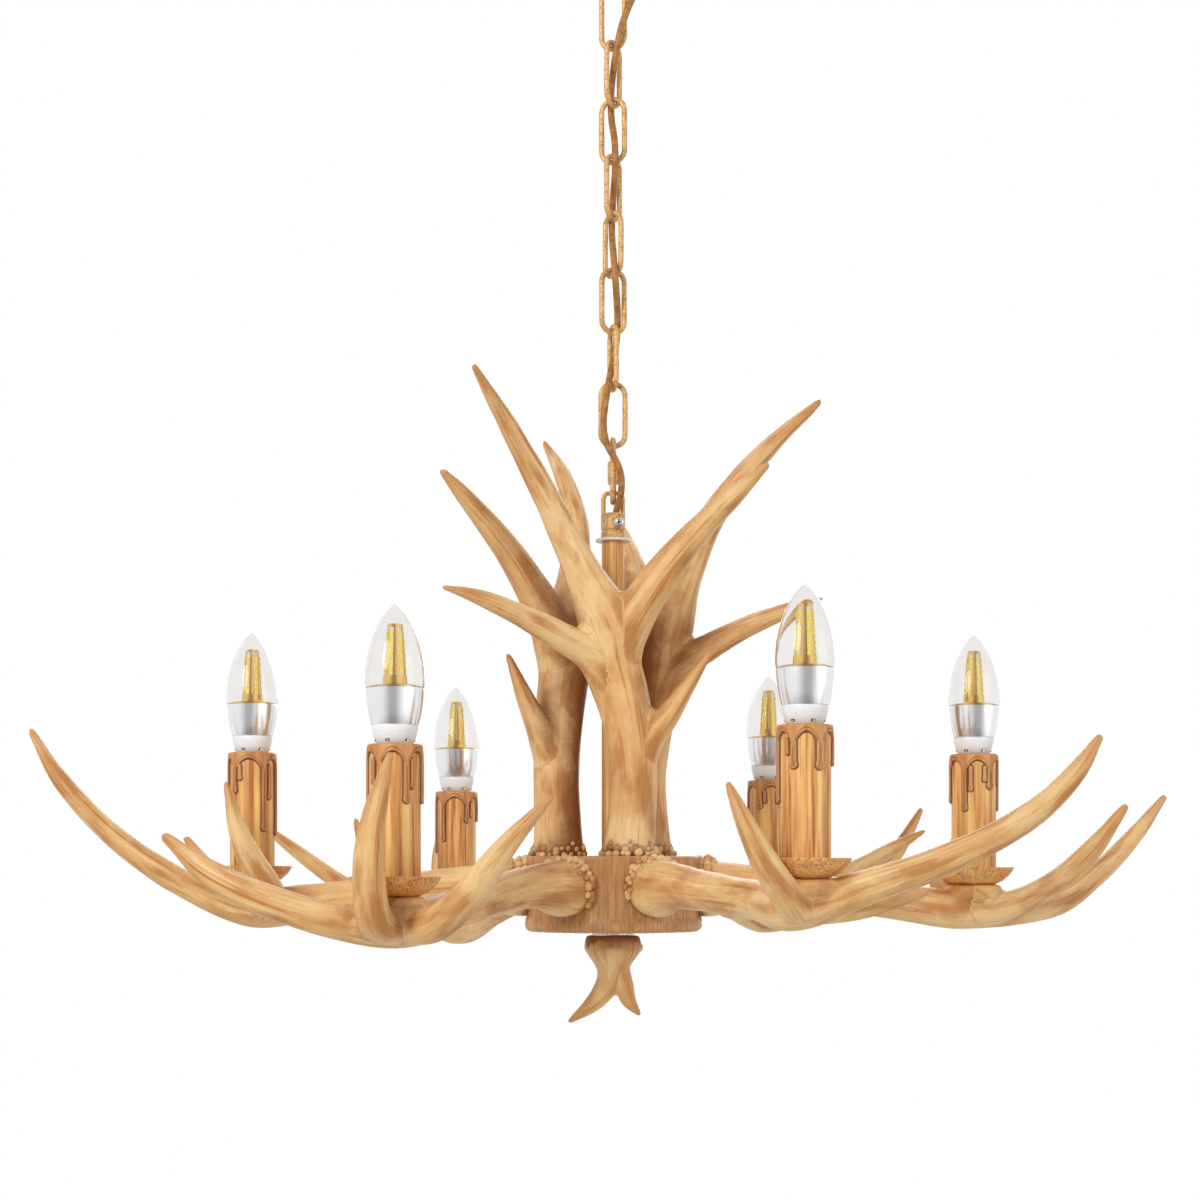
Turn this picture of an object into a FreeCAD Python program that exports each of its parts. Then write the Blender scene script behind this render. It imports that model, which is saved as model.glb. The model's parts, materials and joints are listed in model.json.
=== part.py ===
"""Antler chandelier, in millimetres, +Z up, with its origin at the middle of the ceiling face.

Six branching arm antlers stand round a turned hub and carry six candle lamps.  Three upright
antlers stand on the hub round a centre tube, and the whole hangs on a linked chain.
"""

import FreeCAD, Part, Sketcher
import math
import os

V = FreeCAD.Vector
doc = FreeCAD.newDocument("antler_chandelier")
sheet = doc.addObject("Spreadsheet::Sheet", "Sheet")

SIZES = {
    # heights below the ceiling
    "lamp_drop": 680,  # ceiling to the plane of the drip pans' rims
    "hub_above": 11,  # hub top above that plane
    "hub_height": 53,
    # ceiling plate
    "canopy_radius": 62.5,
    "canopy_depth": 28,
    "canopy_foot": 13,
    "canopy_wall": 1.6,
    "canopy_sides": 20,
    "bracket_length": 104,
    "bracket_width": 22,
    "bracket_plate": 2,
    "screw_spacing": 84,
    "screw_radius": 2.2,
    "screw_length": 22,  # above the ceiling
    "screw_neck": 1.8,
    "nipple_radius": 5,
    "collar_radius": 9,
    "collar_height": 5,
    "bush_place": 24,
    "bush_radius": 5,
    "loop_width": 30,
    "loop_wire": 5,
    # chain
    "link_count": 8,
    "link_length": 47.9,
    "link_width": 20.8,
    "link_wire": 3.8,
    "link_play": 0.3,
    "quick_length": 47.5,
    "quick_width": 19.6,
    "quick_wire": 4.2,
    "quick_gap": 5.4,
    "sleeve_nut_length": 16.4,
    "sleeve_nut_radius": 4,
    # top fitting and tube
    "coupler_radius": 8.5,
    "coupler_height": 18,
    "coupler_eye_width": 10.4,
    "coupler_eye_depth": 5,
    "coupler_eye_height": 12.2,
    "coupler_base": 234,  # above the lamp plane
    "spigot_radius": 6.2,
    "spigot_length": 12,
    "washer_radius": 12.5,
    "washer_plate": 1.6,
    "tube_radius": 8,
    "tube_bore": 4.4,
    "tube_below_hub": 20,
    "tube_sides": 16,
    # hub
    "hub_radius": 62,
    "hub_wall": 15,
    "hub_top_plate": 9,
    "hub_cover_plate": 4,
    "hub_sides": 24,
    "tube_nut_radius": 14,
    "tube_nut_height": 6,
    "finial_ring_radius": 15,
    "finial_ring_plate": 3,
    "bolt_radius": 3,
    "bolt_length": 42,
    "bolt_head_radius": 5.5,
    "bolt_head_height": 4,
    # lamps
    "lamp_ring": 254,
    "seat_radius": 19,
    "seat_below_pan": 20,
    "pan_radius": 28,
    "pan_depth": 12,
    "pan_foot": 15,
    "pan_floor": 17.6,
    "pan_wall": 1.6,
    "pan_sides": 12,
    "candle_radius": 17,
    "candle_bore": 13.5,
    "candle_lip": 18.4,
    "candle_lip_height": 13,
    "candle_height": 80,  # above the pan's rim
    "candle_sides": 12,
    "stud_radius": 4.6,
    "stud_in_seat": 11,
    "stud_sides": 8,
    "socket_radius": 12,
    "socket_bore": 7.3,
    "socket_well": 26,
    # bulbs, heights above the candle's top
    "bulb_sides": 12,
    "bulb_play": 0.3,
    "cap_radius": 7,
    "cap_length": 24,
    "housing_foot": 12.4,
    "housing_top": 14.4,
    "housing_height": 11,
    "cup_radius": 17.4,
    "cup_height": 33.5,
    "glass_radius": 18.5,
    "glass_widest": 42,
    "glass_height": 84,
    "glass_wall": 1,
    "column_height": 70,
    # cord
    "cord_radius": 2.4,
}
for row, (alias, value) in enumerate(SIZES.items(), start=1):
    sheet.set(f"A{row}", alias)
    sheet.set(f"B{row}", str(value))
    sheet.setAlias(f"B{row}", alias)
doc.recompute()

LINK_TURNS = (-20, 58, -20, 58, -50, 22, -75, 5)  # the way each link faces, in degrees
QUICK_LINK_TURN = 90

# Each lamp: its direction seen from the front, in degrees, and its height above the lamp plane.
LAMPS = ((26.5, 8), (90, 3), (150, -6), (-150.5, -15), (-90, 4), (-31.5, -3))

# Limbs are stations (x, y, z, radius) in the lamp plane's frame, chosen by hand.  An arm's first
# limb goes on from its beam, past the lamp, and its other limbs spring from under the lamp.
ARM_LIMBS = (
    (  # front right: a long beam to the right, a tine up in front of the lamp, a short one behind
        ((153, -233, -8, 10.4), (197, -245, 8, 9.4), (241, -255, 32, 8.2), (268, -260, 58, 6.2),
         (281, -262, 78, 3)),
        ((103, -240, -16, 10.4), (89, -251, 3, 8.8), (78, -256, 24, 6.6), (66, -255, 51, 2.4)),
        ((140, -205, -22, 9), (166, -198, -17, 7.4), (190, -193, -12, 3.4)),
    ),
    (  # right: a fork far out, and a short tine in front
        ((312, 8, -22, 9.8), (346, 26, -2, 8.2), (378, 42, 27, 6.5), (401, 50, 54, 2.8)),
        ((272, -8, -25, 10.4), (302, -24, -10, 9), (326, -40, 13, 7.6), (348, -50, 44, 3.2)),
        ((236, 28, -8, 9), (246, 41, 13, 6.8), (255, 46, 36, 3)),
    ),
    (  # back right
        ((160, 250, -32, 10), (200, 272, -16, 8.8), (238, 292, 14, 7.2), (262, 302, 52, 2.8)),
        ((165, 226, -14, 8.8), (198, 224, 3, 7.2), (227, 220, 19, 5.6), (252, 215, 33, 2.4)),
        ((142, 250, -14, 8.6), (148, 260, 16, 7), (146, 262, 54, 2.6)),
    ),
    (  # back left
        ((-150, 258, -40, 10), (-182, 288, -24, 8.8), (-206, 312, 6, 7), (-218, 322, 44, 2.8)),
        ((-176, 234, -28, 8.6), (-218, 235, -10, 7.2), (-258, 226, 19, 5.6), (-284, 216, 40, 2.4)),
        ((-138, 250, -24, 8.6), (-142, 262, 8, 7), (-138, 264, 48, 2.6)),
    ),
    (  # left: a long beam straight out, a tine up in front of the lamp, a short one behind
        ((-262, -8, -26, 10.6), (-306, -20, -4, 9.4), (-350, -24, 28, 8), (-384, -27, 66, 6),
         (-402, -28, 97, 3)),
        ((-238, -26, -14, 10.8), (-247, -38, 5, 9.6), (-256, -46, 28, 6.8), (-264, -48, 60, 2.6)),
        ((-262, 26, -18, 8.4), (-288, 44, -2, 6.8), (-311, 55, 24, 3)),
    ),
    (  # front left: a long beam to the left, a tine up in front, a tine sweeping back to the middle
        ((-161, -228, -31, 11), (-206, -226, -18, 10), (-244, -216, -1, 8.4), (-274, -200, 21, 3.6)),
        ((-142, -244, -28, 11.4), (-144, -257, -8, 10), (-142, -262, 24, 8.2), (-132, -258, 68, 2.8)),
        ((-106, -242, -30, 11), (-84, -262, -11, 9.4), (-63, -275, 15, 7), (-37, -287, 43, 2.4)),
    ),
)

# The upright casting, seen from its own front: x to the right, y away, z above the hub's top.
UPRIGHT_TURNS = (0, 126, -120)
UPRIGHT_LIMBS = (
    ((11, -38, 0, 19.5), (12, -38, 14, 17.6), (14, -38, 62, 16.6), (9, -39, 98, 17.6),
     (1, -40, 130, 18.6), (-4, -42, 156, 20), (-24, -46, 199, 12.6), (-47, -58, 246, 9),
     (-71, -84, 287, 6.6), (-91, -112, 318, 2.8)),
    ((2, -41, 146, 18), (20, -45, 173, 14.4), (42, -52, 203, 11.2), (63, -60, 226, 8.8),
     (85, -68, 246, 6.4), (102, -75, 261, 3)),
    ((-3, -41, 128, 13.6), (-35, -58, 148, 10), (-60, -70, 160, 8), (-88, -86, 171, 5.4),
     (-112, -95, 177, 2.4)),
    ((16, -39, 70, 12), (37, -42, 96, 8.4), (48, -44, 112, 6.4), (65, -46, 138, 2.4)),
)
# The small antler below the hub, with its two points, z below the hub's foot.
FINIAL_LIMBS = (
    ((0, 0, -3, 17), (0, 0, -12, 16), (0, 0, -24, 11.6), (-1, 0, -38, 10.8), (-11, 0, -51, 7.6),
     (-31, 0, -64, 2)),
    ((0, 0, -32, 10), (8, 0, -47, 7), (18, 0, -58, 2)),
)
BEAM_SIDES = 8
TINE_SIDES = 6
WIRE_SIDES = 6
LIMB_STEP = 38  # about how far apart a limb's sections are
RIDGE = 0.06  # how far every second edge of a limb stands out, as a share of its radius

# The cord's route from the ceiling plate to the tube, chosen by hand; z from the lamp plane.
CORD_ROUTE = (
    (24, -4, 653), (23.5, -4.6, 630), (10.9, -7.2, 608.6), (2.5, -10.2, 580), (-2.9, 13, 542.6),
    (2.8, -17.1, 501.5), (-1.6, 17.8, 462.3), (1.1, -17.7, 420.4), (4.4, 13.4, 381.5), (-4.7, -13.3, 335.6),
    (-8.1, -13.2, 303.3), (5.4, -12.5, 282.5), (6.3, -9.2, 265.1), (1.2, -1.7, 251.7), (0, 0, 236),
)


def size(alias):
    return float(sheet.get(alias))


def node(label, shape, turn=0.0, lift="-Sheet.lamp_drop", at=(0, 0)):
    """A finished piece with its own label and place, whose height follows the driving sizes."""
    piece = doc.addObject("Part::Feature", label)
    piece.Label = label
    piece.Shape = shape
    piece.Placement = FreeCAD.Placement(V(*at, 0), FreeCAD.Rotation(V(0, 0, 1), turn))
    piece.setExpression(".Placement.Base.z", lift)
    pieces.append(piece)
    return piece


pieces = []


# ---------------------------------------------------------------- turned pieces
def ring(name, radius, height, sides):
    """A flat polygon, standing for one circle of a turned piece."""
    polygon = doc.addObject("Part::RegularPolygon", name)
    polygon.Polygon = int(sides)
    polygon.setExpression("Circumradius", radius)
    polygon.setExpression(".Placement.Base.z", height)
    polygon.recompute()
    return polygon


def sides_of(piece):
    """How many flat sides stand for the round of a piece."""
    return int(size(f"{piece}_sides"))


def turned(name, profile, sides):
    """A turned solid through (radius, height) pairs, each an expression on the driving sizes."""
    rings = [ring(f"{name}_ring{i}", *pair, sides) for i, pair in enumerate(profile)]
    solid = doc.addObject("Part::Feature", name)
    solid.Shape = skin([[vertex.Point for vertex in one.Shape.Vertexes] for one in rings])
    return solid


def cut(name, base, *tools):
    """The base less each tool in turn."""
    for i, tool in enumerate(tools):
        step = doc.addObject("Part::Cut", name if tool is tools[-1] else f"{name}_cut{i}")
        step.Base = base
        step.Tool = tool
        base = step
    return base


def fuse(name, *members):
    joined = doc.addObject("Part::MultiFuse", name)
    joined.Shapes = list(members)
    return joined


def bar(name, radius, height, at=("0", "0", "0"), tilt=None, sides=12):
    """A many-sided bar or bore from the driving sizes, standing at a place."""
    bar = doc.addObject("Part::Prism", name)
    bar.Polygon = sides
    bar.setExpression("Circumradius", radius)
    bar.setExpression("Height", height)
    if tilt:
        bar.Placement = FreeCAD.Placement(V(0, 0, 0), FreeCAD.Rotation(*tilt))
    for axis, value in zip("xyz", at):
        bar.setExpression(f".Placement.Base.{axis}", value)
    return bar


def block(name, length, width, height, at):
    bar = doc.addObject("Part::Box", name)
    for key, value in zip(("Length", "Width", "Height"), (length, width, height)):
        bar.setExpression(key, value)
    for axis, value in zip("xyz", at):
        bar.setExpression(f".Placement.Base.{axis}", value)
    return bar


def publish(label, source, lift="0"):
    """A document object that is itself a finished piece."""
    source.Label = label
    source.setExpression(".Placement.Base.z", lift)
    pieces.append(source)
    return source


# ---------------------------------------------------------------- limbs
def corners_across(centre, along, side, reaches):
    """Corners of a section square to along, one for each reach, counted from side."""
    across = along.cross(side)
    angles = [2 * math.pi * k / len(reaches) for k in range(len(reaches))]
    return [centre + side * (r * math.cos(a)) + across * (r * math.sin(a)) for a, r in zip(angles, reaches)]


def skin(sections, ring=False):
    """The solid between sections with equal numbers of corners, in flat faces."""
    faces = [] if ring else [Part.Face(Part.makePolygon(c + c[:1])) for c in (sections[0], sections[-1])]
    for lower, upper in zip(sections, sections[1:] + sections[:1] if ring else sections[1:]):
        for k, corner in enumerate(lower):
            nxt = (k + 1) % len(lower)
            quad = [corner, lower[nxt], upper[nxt], upper[k]]
            lean = (quad[1] - quad[0]).cross(quad[3] - quad[0]).normalize().dot(quad[2] - quad[0])
            halves = [quad] if abs(lean) < 1e-6 else [quad[:3], [quad[0]] + quad[2:]]
            faces += [Part.Face(Part.makePolygon(half + half[:1])) for half in halves]
    shell = Part.Shell(faces)
    shell.sewShape()
    solid = Part.Solid(shell)
    if solid.Volume < 0:
        solid.reverse()
    return solid


def square_to(along):
    """A direction across a limb: upwards, or away for a limb that stands up."""
    side = V(0, 0, 1) if abs(along.z) < 0.7 else V(0, 1, 0)
    return (side - along * side.dot(along)).normalize()


def limb(stations, sides):
    """A tapering curved limb through its stations, ridged along its length, with a blunt tip."""
    centres = [V(*station[:3]) for station in stations]
    spine = Part.BSplineCurve()
    spine.interpolate(centres)
    marks = [spine.parameter(centre) for centre in centres]
    side = square_to(spine.tangent(marks[0])[0])
    sections = []
    for (start, end), (this, following) in zip(zip(marks, marks[1:]), zip(stations, stations[1:])):
        steps = max(1, round(spine.length(start, end) / LIMB_STEP))
        last = end == marks[-1]
        for i in range(steps + last):
            share = i / steps
            parameter = start + (end - start) * share
            radius = this[3] + (following[3] - this[3]) * share
            along = spine.tangent(parameter)[0]
            side = (side - along * side.dot(along)).normalize()
            reaches = [radius * (1 + RIDGE * (-1) ** k) for k in range(sides)]
            sections.append(corners_across(spine.value(parameter), along, side, reaches))
    tip = spine.value(marks[-1]) + along * (0.7 * radius)
    sections.append(corners_across(tip, along, side, [0.45 * radius] * sides))
    return skin(sections)


def coronet(centre, along, radius, thickness, lobes=9):
    """The burr round an antler's foot: a disc with a pearled edge."""
    reaches = [radius * (1 if k % 2 else 0.86) for k in range(2 * lobes)]
    corners = corners_across(centre, along, square_to(along), reaches)
    return Part.Face(Part.makePolygon(corners + corners[:1])).extrude(along * thickness)


def turned_bar(radius, low, high, sides, at=(0, 0)):
    """A plain many-sided bar between two heights."""
    angles = [2 * math.pi * k / sides for k in range(sides)]
    corners = [V(at[0] + radius * math.cos(a), at[1] + radius * math.sin(a), low) for a in angles]
    return Part.Face(Part.makePolygon(corners + corners[:1])).extrude(V(0, 0, high - low))


def outward(turn):
    """The level direction of a lamp or bolt: 0 is the front, 90 the right."""
    angle = math.radians(turn)
    return V(math.sin(angle), -math.cos(angle), 0)


def arm_beam(turn, lamp_height):
    """Stations of an arm's beam, from inside the hub's edge to under its lamp."""
    under_lamp = lamp_height - size("pan_depth") - size("seat_below_pan") + 2
    reach = size("lamp_ring")
    rows = ((54, -10, 18.5), (76, -10, 17.5), (100, -10, 14.6), (0.75 * reach, 0.6 * under_lamp - 5, 12.8))
    stations = []
    for distance, height, radius in rows + ((reach - 8, under_lamp, 13.4),):
        place = outward(turn) * distance
        stations.append((place.x, place.y, height, radius))
    return stations


# ---------------------------------------------------------------- ceiling fittings
def make_ceiling_plate():
    s = "Sheet."
    shell = turned("canopy_outside", (
        (s + "canopy_radius", "0"), (s + "canopy_radius", "-3"),
        (s + "canopy_radius*0.93", "-Sheet.canopy_depth*0.36"),
        (s + "canopy_radius*0.66", "-Sheet.canopy_depth*0.78"), (s + "canopy_foot", "-Sheet.canopy_depth"),
    ), sides_of("canopy"))
    inside = turned("canopy_inside", (
        ("Sheet.canopy_radius-Sheet.canopy_wall", "0"),
        ("Sheet.canopy_radius*0.93-Sheet.canopy_wall", "-Sheet.canopy_depth*0.36+Sheet.canopy_wall*0.4"),
        ("Sheet.canopy_radius*0.66-Sheet.canopy_wall*0.5", "-Sheet.canopy_depth*0.78+Sheet.canopy_wall"),
        (s + "canopy_foot", "-Sheet.canopy_depth+Sheet.canopy_wall"),
    ), sides_of("canopy"))
    centre = bar("canopy_hole", s + "nipple_radius", "10", ("0", "0", "-Sheet.canopy_depth-2"))
    bush_hole = bar("canopy_bush_hole", s + "bush_radius", "30", (s + "bush_place", "-4", "-32"))
    publish("ceiling_canopy", cut("ceiling_canopy", shell, inside, centre, bush_hole))

    bush = bar("bush_body", s + "bush_radius", "10", (s + "bush_place", "-4", "-28"))
    flange = bar("bush_flange", "Sheet.bush_radius+2", "2.4", (s + "bush_place", "-4", "-30.2"))
    bore = bar("bush_bore", "Sheet.cord_radius+0.6", "20", (s + "bush_place", "-4", "-32"))
    clear = doc.getObject("ceiling_canopy")
    bush_solid = fuse("bush_solid", bush, flange)
    publish("cord_bush", cut("cord_bush", bush_solid, bore, clear))


def make_bracket():
    """The ceiling crossbar: a pressed steel strip with a centre hole and two screw slots."""
    body = doc.addObject("PartDesign::Body", "ceiling_bracket")
    body.Label = "ceiling_bracket"
    plane = next(f for f in body.Origin.OriginFeatures if f.Role == "XY_Plane")

    def sketch(name):
        drawing = body.newObject("Sketcher::SketchObject", name)
        drawing.AttachmentSupport = (plane, [""])
        drawing.MapMode = "FlatFace"
        return drawing

    outline = sketch("bracket_outline")
    half_length, half_width = size("bracket_length") / 2, size("bracket_width") / 2
    corners = [V(x * half_length, y * half_width, 0) for x, y in ((-1, -1), (1, -1), (1, 1), (-1, 1))]
    for i in range(4):
        outline.addGeometry(Part.LineSegment(corners[i], corners[(i + 1) % 4]))
        outline.addConstraint(Sketcher.Constraint("Horizontal" if i % 2 == 0 else "Vertical", i))
    for i in range(4):
        outline.addConstraint(Sketcher.Constraint("Coincident", i, 2, (i + 1) % 4, 1))
    outline.addConstraint(Sketcher.Constraint("Symmetric", 0, 1, 1, 2, -1, 1))
    long_side = outline.addConstraint(Sketcher.Constraint("DistanceX", 0, 1, 0, 2, 2 * half_length))
    short_side = outline.addConstraint(Sketcher.Constraint("DistanceY", 1, 1, 1, 2, 2 * half_width))
    outline.setExpression(f"Constraints[{long_side}]", "Sheet.bracket_length")
    outline.setExpression(f"Constraints[{short_side}]", "Sheet.bracket_width")
    pad = body.newObject("PartDesign::Pad", "bracket_plate_pad")
    pad.Profile = outline
    pad.setExpression("Length", "Sheet.bracket_plate")
    pad.Reversed = True

    holes = sketch("bracket_holes")
    spots = ((0, "Sheet.nipple_radius", size("nipple_radius")),
             (-size("screw_spacing") / 2, "Sheet.screw_radius+0.2", size("screw_radius") + 0.2),
             (size("screw_spacing") / 2, "Sheet.screw_radius+0.2", size("screw_radius") + 0.2))
    for x, rule, radius in spots:
        circle = holes.addGeometry(Part.Circle(V(x, 0, 0), V(0, 0, 1), radius))
        bound = holes.addConstraint(Sketcher.Constraint("Radius", circle, radius))
        holes.setExpression(f"Constraints[{bound}]", rule)
    pocket = body.newObject("PartDesign::Pocket", "bracket_bores")
    pocket.Profile = holes
    pocket.Type = "ThroughAll"
    pocket.Midplane = True
    pieces.append(body)

    screws = []
    for i, sign in enumerate(("-", "")):
        side = f"{sign}Sheet.screw_spacing/2"
        shank = doc.addObject("Part::Cylinder", f"screw_shank{i}")
        shank.setExpression("Radius", "Sheet.screw_radius")
        shank.setExpression("Height", "Sheet.screw_length")
        shank.setExpression(".Placement.Base.x", side)
        under = "-Sheet.bracket_plate"
        neck = bar(f"screw_neck{i}", "Sheet.screw_neck", "Sheet.bracket_plate+1", (side, "0", under))
        head = bar(f"screw_head{i}", "Sheet.screw_radius*2", "2.6", (side, "0", f"{under}-2.6"))
        screws.append(fuse(f"bracket_screw{i}", shank, neck, head))
    group = doc.addObject("Part::Compound", "bracket_screws")
    group.Links = screws
    publish("bracket_screws", group)

    terminal = block("terminal_body", "26", "14", "12", ("-20-26/2", "-7", "-Sheet.bracket_plate-12"))
    wells = [
        bar(f"terminal_well{i}", "2.2", "5", (f"-20+{8 * (i - 1)}", "0", "-Sheet.bracket_plate-12"))
        for i in range(3)
    ]
    publish("terminal_block", cut("terminal_block", terminal, *wells))


def make_ceiling_loop():
    """The threaded stem, its collar and the ring that the chain hangs on."""
    stem = bar("stem_bar", "Sheet.nipple_radius", "Sheet.canopy_depth+Sheet.collar_height-0.5",
               ("0", "0", "-Sheet.canopy_depth-Sheet.collar_height"))
    publish("canopy_stem", stem, "-Sheet.canopy_depth-Sheet.collar_height")
    collar = turned("collar_outside", (
        ("Sheet.collar_radius", "0"), ("Sheet.collar_radius+1", "Sheet.collar_height*0.4"),
        ("Sheet.collar_radius", "Sheet.collar_height"),
    ), 16)
    bore = bar("collar_bore", "Sheet.nipple_radius", "20", ("0", "0", "-5"))
    publish("loop_collar", cut("loop_collar", collar, bore), "-Sheet.canopy_depth-Sheet.collar_height")

    wire = size("loop_wire")
    top = -size("canopy_depth") - size("collar_height")
    bottom = chain_top() - size("link_wire") - size("link_play") - wire
    loop = ring_link(top - bottom, size("loop_width"), wire, 6)
    node("canopy_loop", loop, LINK_TURNS[0] + 90, str(bottom))


# ---------------------------------------------------------------- chain
def chain_pitch():
    return size("link_length") - 2 * size("link_wire") - size("link_play")


def chain_bottom():
    """Height of the last link's outer foot above the lamp plane."""
    return quick_bottom() + size("quick_length") - size("quick_wire") - size("link_wire") - size("link_play")


def quick_bottom():
    """The quick link's outer foot, inside the eye of the top fitting, above the lamp plane."""
    return size("coupler_base") + size("coupler_height") + 6.5


def chain_top():
    """Height of the first link's outer top, in the ceiling's frame."""
    return chain_bottom() + (size("link_count") - 1) * chain_pitch() + size("link_length") - size("lamp_drop")


def wire_path(length, width, wire, steps):
    """Centre points and tangents round a link that stands on z = 0, from its right leg round the top."""
    half = width / 2 - wire / 2
    straight = length / 2 - wire / 2 - half
    places = []
    for bow, middle in ((0, length / 2 + straight), (1, length / 2 - straight)):
        for i in range(steps + 1):
            angle = math.pi * (bow + i / steps)
            places.append((V(half * math.cos(angle), 0, middle + half * math.sin(angle)), angle))
    return places


def wire_section(place, angle, wire):
    """A section of a bent wire, square to it."""
    along = V(-math.sin(angle), 0, math.cos(angle))
    return corners_across(place, along, V(0, 1, 0), [wire / 2] * WIRE_SIDES)


def ring_link(length, width, wire, steps=6):
    places = wire_path(length, width, wire, steps)
    return skin([wire_section(place, angle, wire) for place, angle in places], ring=True)


def make_chain():
    link = ring_link(size("link_length"), size("link_width"), size("link_wire"))
    for i, turn in enumerate(LINK_TURNS):
        above = chain_bottom() + (len(LINK_TURNS) - 1 - i) * chain_pitch()
        node(f"chain_link_{i + 1}", link, turn, f"{above} - Sheet.lamp_drop")


def make_quick_link():
    """An oval link with a gap in one leg, closed by a threaded sleeve nut."""
    length, width, wire = size("quick_length"), size("quick_width"), size("quick_wire")
    places = wire_path(length, width, wire, 6)
    half = width / 2 - wire / 2
    low = length / 2 - size("sleeve_nut_length") / 2
    gap_low, gap_high = V(half, 0, low + 1), V(half, 0, low + 1 + size("quick_gap"))
    sections = [wire_section(gap_high, 0, wire)] + [wire_section(p, a, wire) for p, a in places]
    sections.append(wire_section(gap_low, 2 * math.pi, wire))
    node("quick_link", skin(sections), QUICK_LINK_TURN, f"{quick_bottom()} - Sheet.lamp_drop")
    nut = turned_bar(size("sleeve_nut_radius"), low, low + size("sleeve_nut_length"), 12, (half, 0))
    bore = turned_bar(wire / 2 + 0.3, low - 1, low + size("sleeve_nut_length") + 1, 12, (half, 0))
    node("quick_link_sleeve", nut.cut(bore), QUICK_LINK_TURN, f"{quick_bottom()} - Sheet.lamp_drop")


# ---------------------------------------------------------------- top fitting, tube and hub
def make_top_fitting():
    base = "Sheet.coupler_base"
    foot = turned("coupler_foot", (
        ("Sheet.coupler_radius", "0"), ("Sheet.coupler_radius", "Sheet.coupler_height*0.3"),
        ("Sheet.coupler_radius*0.9", "Sheet.coupler_height*0.36"),
        ("Sheet.coupler_radius", "Sheet.coupler_height*0.42"),
        ("Sheet.coupler_radius", "Sheet.coupler_height"),
    ), 16)
    eye = block("coupler_eye", "Sheet.coupler_radius*2", "Sheet.coupler_eye_depth", "Sheet.coupler_height+15",
                ("-Sheet.coupler_radius", "-Sheet.coupler_eye_depth/2", "2"))
    window = block("coupler_window", "Sheet.coupler_eye_width", "40", "Sheet.coupler_eye_height",
                   ("-Sheet.coupler_eye_width/2", "-20", "Sheet.coupler_height"))
    seat = bar("coupler_seat", "Sheet.spigot_radius", "Sheet.spigot_length", sides=sides_of("tube"))
    way = bar("coupler_way", "Sheet.coupler_eye_width/2", "Sheet.coupler_height", ("0", "0", "1"))
    screw_bore = bar("coupler_screw_bore", "1.9", "12", ("4", "-12", "Sheet.spigot_length*0.9"),
                     (V(1, 0, 0), -90))
    solid = fuse("coupler_solid", foot, eye)
    publish("coupler", cut("coupler", solid, window, seat, way, screw_bore), f"{base}-Sheet.lamp_drop")

    shank = bar("set_screw_shank", "1.9", "2.6", ("4", "-8.6", "0"), (V(1, 0, 0), -90))
    head = bar("set_screw_head", "3.7", "2.2", ("4", "-10.7", "0"), (V(1, 0, 0), -90))
    slot_a = block("set_screw_slot_a", "4", "1", "0.8", ("2", "-10.8", "-0.4"))
    slot_b = block("set_screw_slot_b", "0.8", "1", "4", ("3.6", "-10.8", "-2"))
    screw = cut("coupler_screw", fuse("set_screw_solid", shank, head), slot_a, slot_b)
    publish("coupler_screw", screw, f"{base}+Sheet.spigot_length*0.9-Sheet.lamp_drop")

    rim = "Sheet.washer_radius"
    disc = turned("washer_disc", ((rim, "-Sheet.washer_plate"), (rim, "0")), 24)
    hole = bar("washer_hole", "Sheet.spigot_radius", "6", ("0", "0", "-3"), sides=sides_of("tube"))
    publish("tube_washer", cut("tube_washer", disc, hole), f"{base}-Sheet.lamp_drop")

    low = "Sheet.hub_above-Sheet.hub_height-Sheet.tube_below_hub"
    shoulder = f"{base}-Sheet.washer_plate"
    wall = "Sheet.tube_radius"
    barrel = turned("tube_barrel", ((wall, low), (wall, shoulder)), sides_of("tube"))
    spigot = turned("tube_spigot", (
        ("Sheet.spigot_radius", f"{shoulder}-5"), ("Sheet.spigot_radius", f"{base}+Sheet.spigot_length"),
    ), sides_of("tube"))
    bore = bar("tube_way", "Sheet.tube_bore", "600", ("0", "0", "-200"))
    publish("centre_tube", cut("centre_tube", fuse("tube_solid", barrel, spigot), bore), "-Sheet.lamp_drop")


def hub_drum():
    """The turned drum: its outside is full at mid height and its foot has a carved, scalloped edge."""
    radius, high = size("hub_radius"), size("hub_above")
    low = high - size("hub_height")
    drum = turned_bar(radius, low + 7, high, sides_of("hub"))
    foot = coronet(V(0, 0, low), V(0, 0, 1), radius + 1.5, 9, 14)
    hollow = turned_bar(radius - size("hub_wall"), low - 1, high - size("hub_top_plate"), 16)
    way = turned_bar(size("tube_radius"), low - 1, high + 1, sides_of("tube"))
    return drum.fuse(foot).cut(hollow).cut(way)


def bolt(foot, along):
    """A bolt whose six-sided head bears at foot and whose shank runs along."""
    side = square_to(along)
    head_foot = foot - along * size("bolt_head_height")
    head = [corners_across(spot, along, side, [size("bolt_head_radius")] * 6) for spot in (head_foot, foot)]
    end = foot + along * size("bolt_length")
    shank = [corners_across(spot, along, side, [size("bolt_radius")] * 8) for spot in (foot, end)]
    return skin(shank).fuse(skin(head))


def bolt_places():
    """Where the nine antler bolts bear inside the hub, and the way each points."""
    inner = size("hub_radius") - size("hub_wall")
    places = [(outward(turn) * (inner - 0.6) + V(0, 0, -12), outward(turn)) for turn, _ in LAMPS]
    under_top = size("hub_above") - size("hub_top_plate")
    for turn in UPRIGHT_TURNS:
        x, y = UPRIGHT_LIMBS[0][0][:2]
        spot = FreeCAD.Rotation(V(0, 0, 1), turn).multVec(V(x, y, 0))
        places.append((V(spot.x * 0.82, spot.y * 0.82, under_top), V(0, 0, 1)))
    return places


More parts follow.
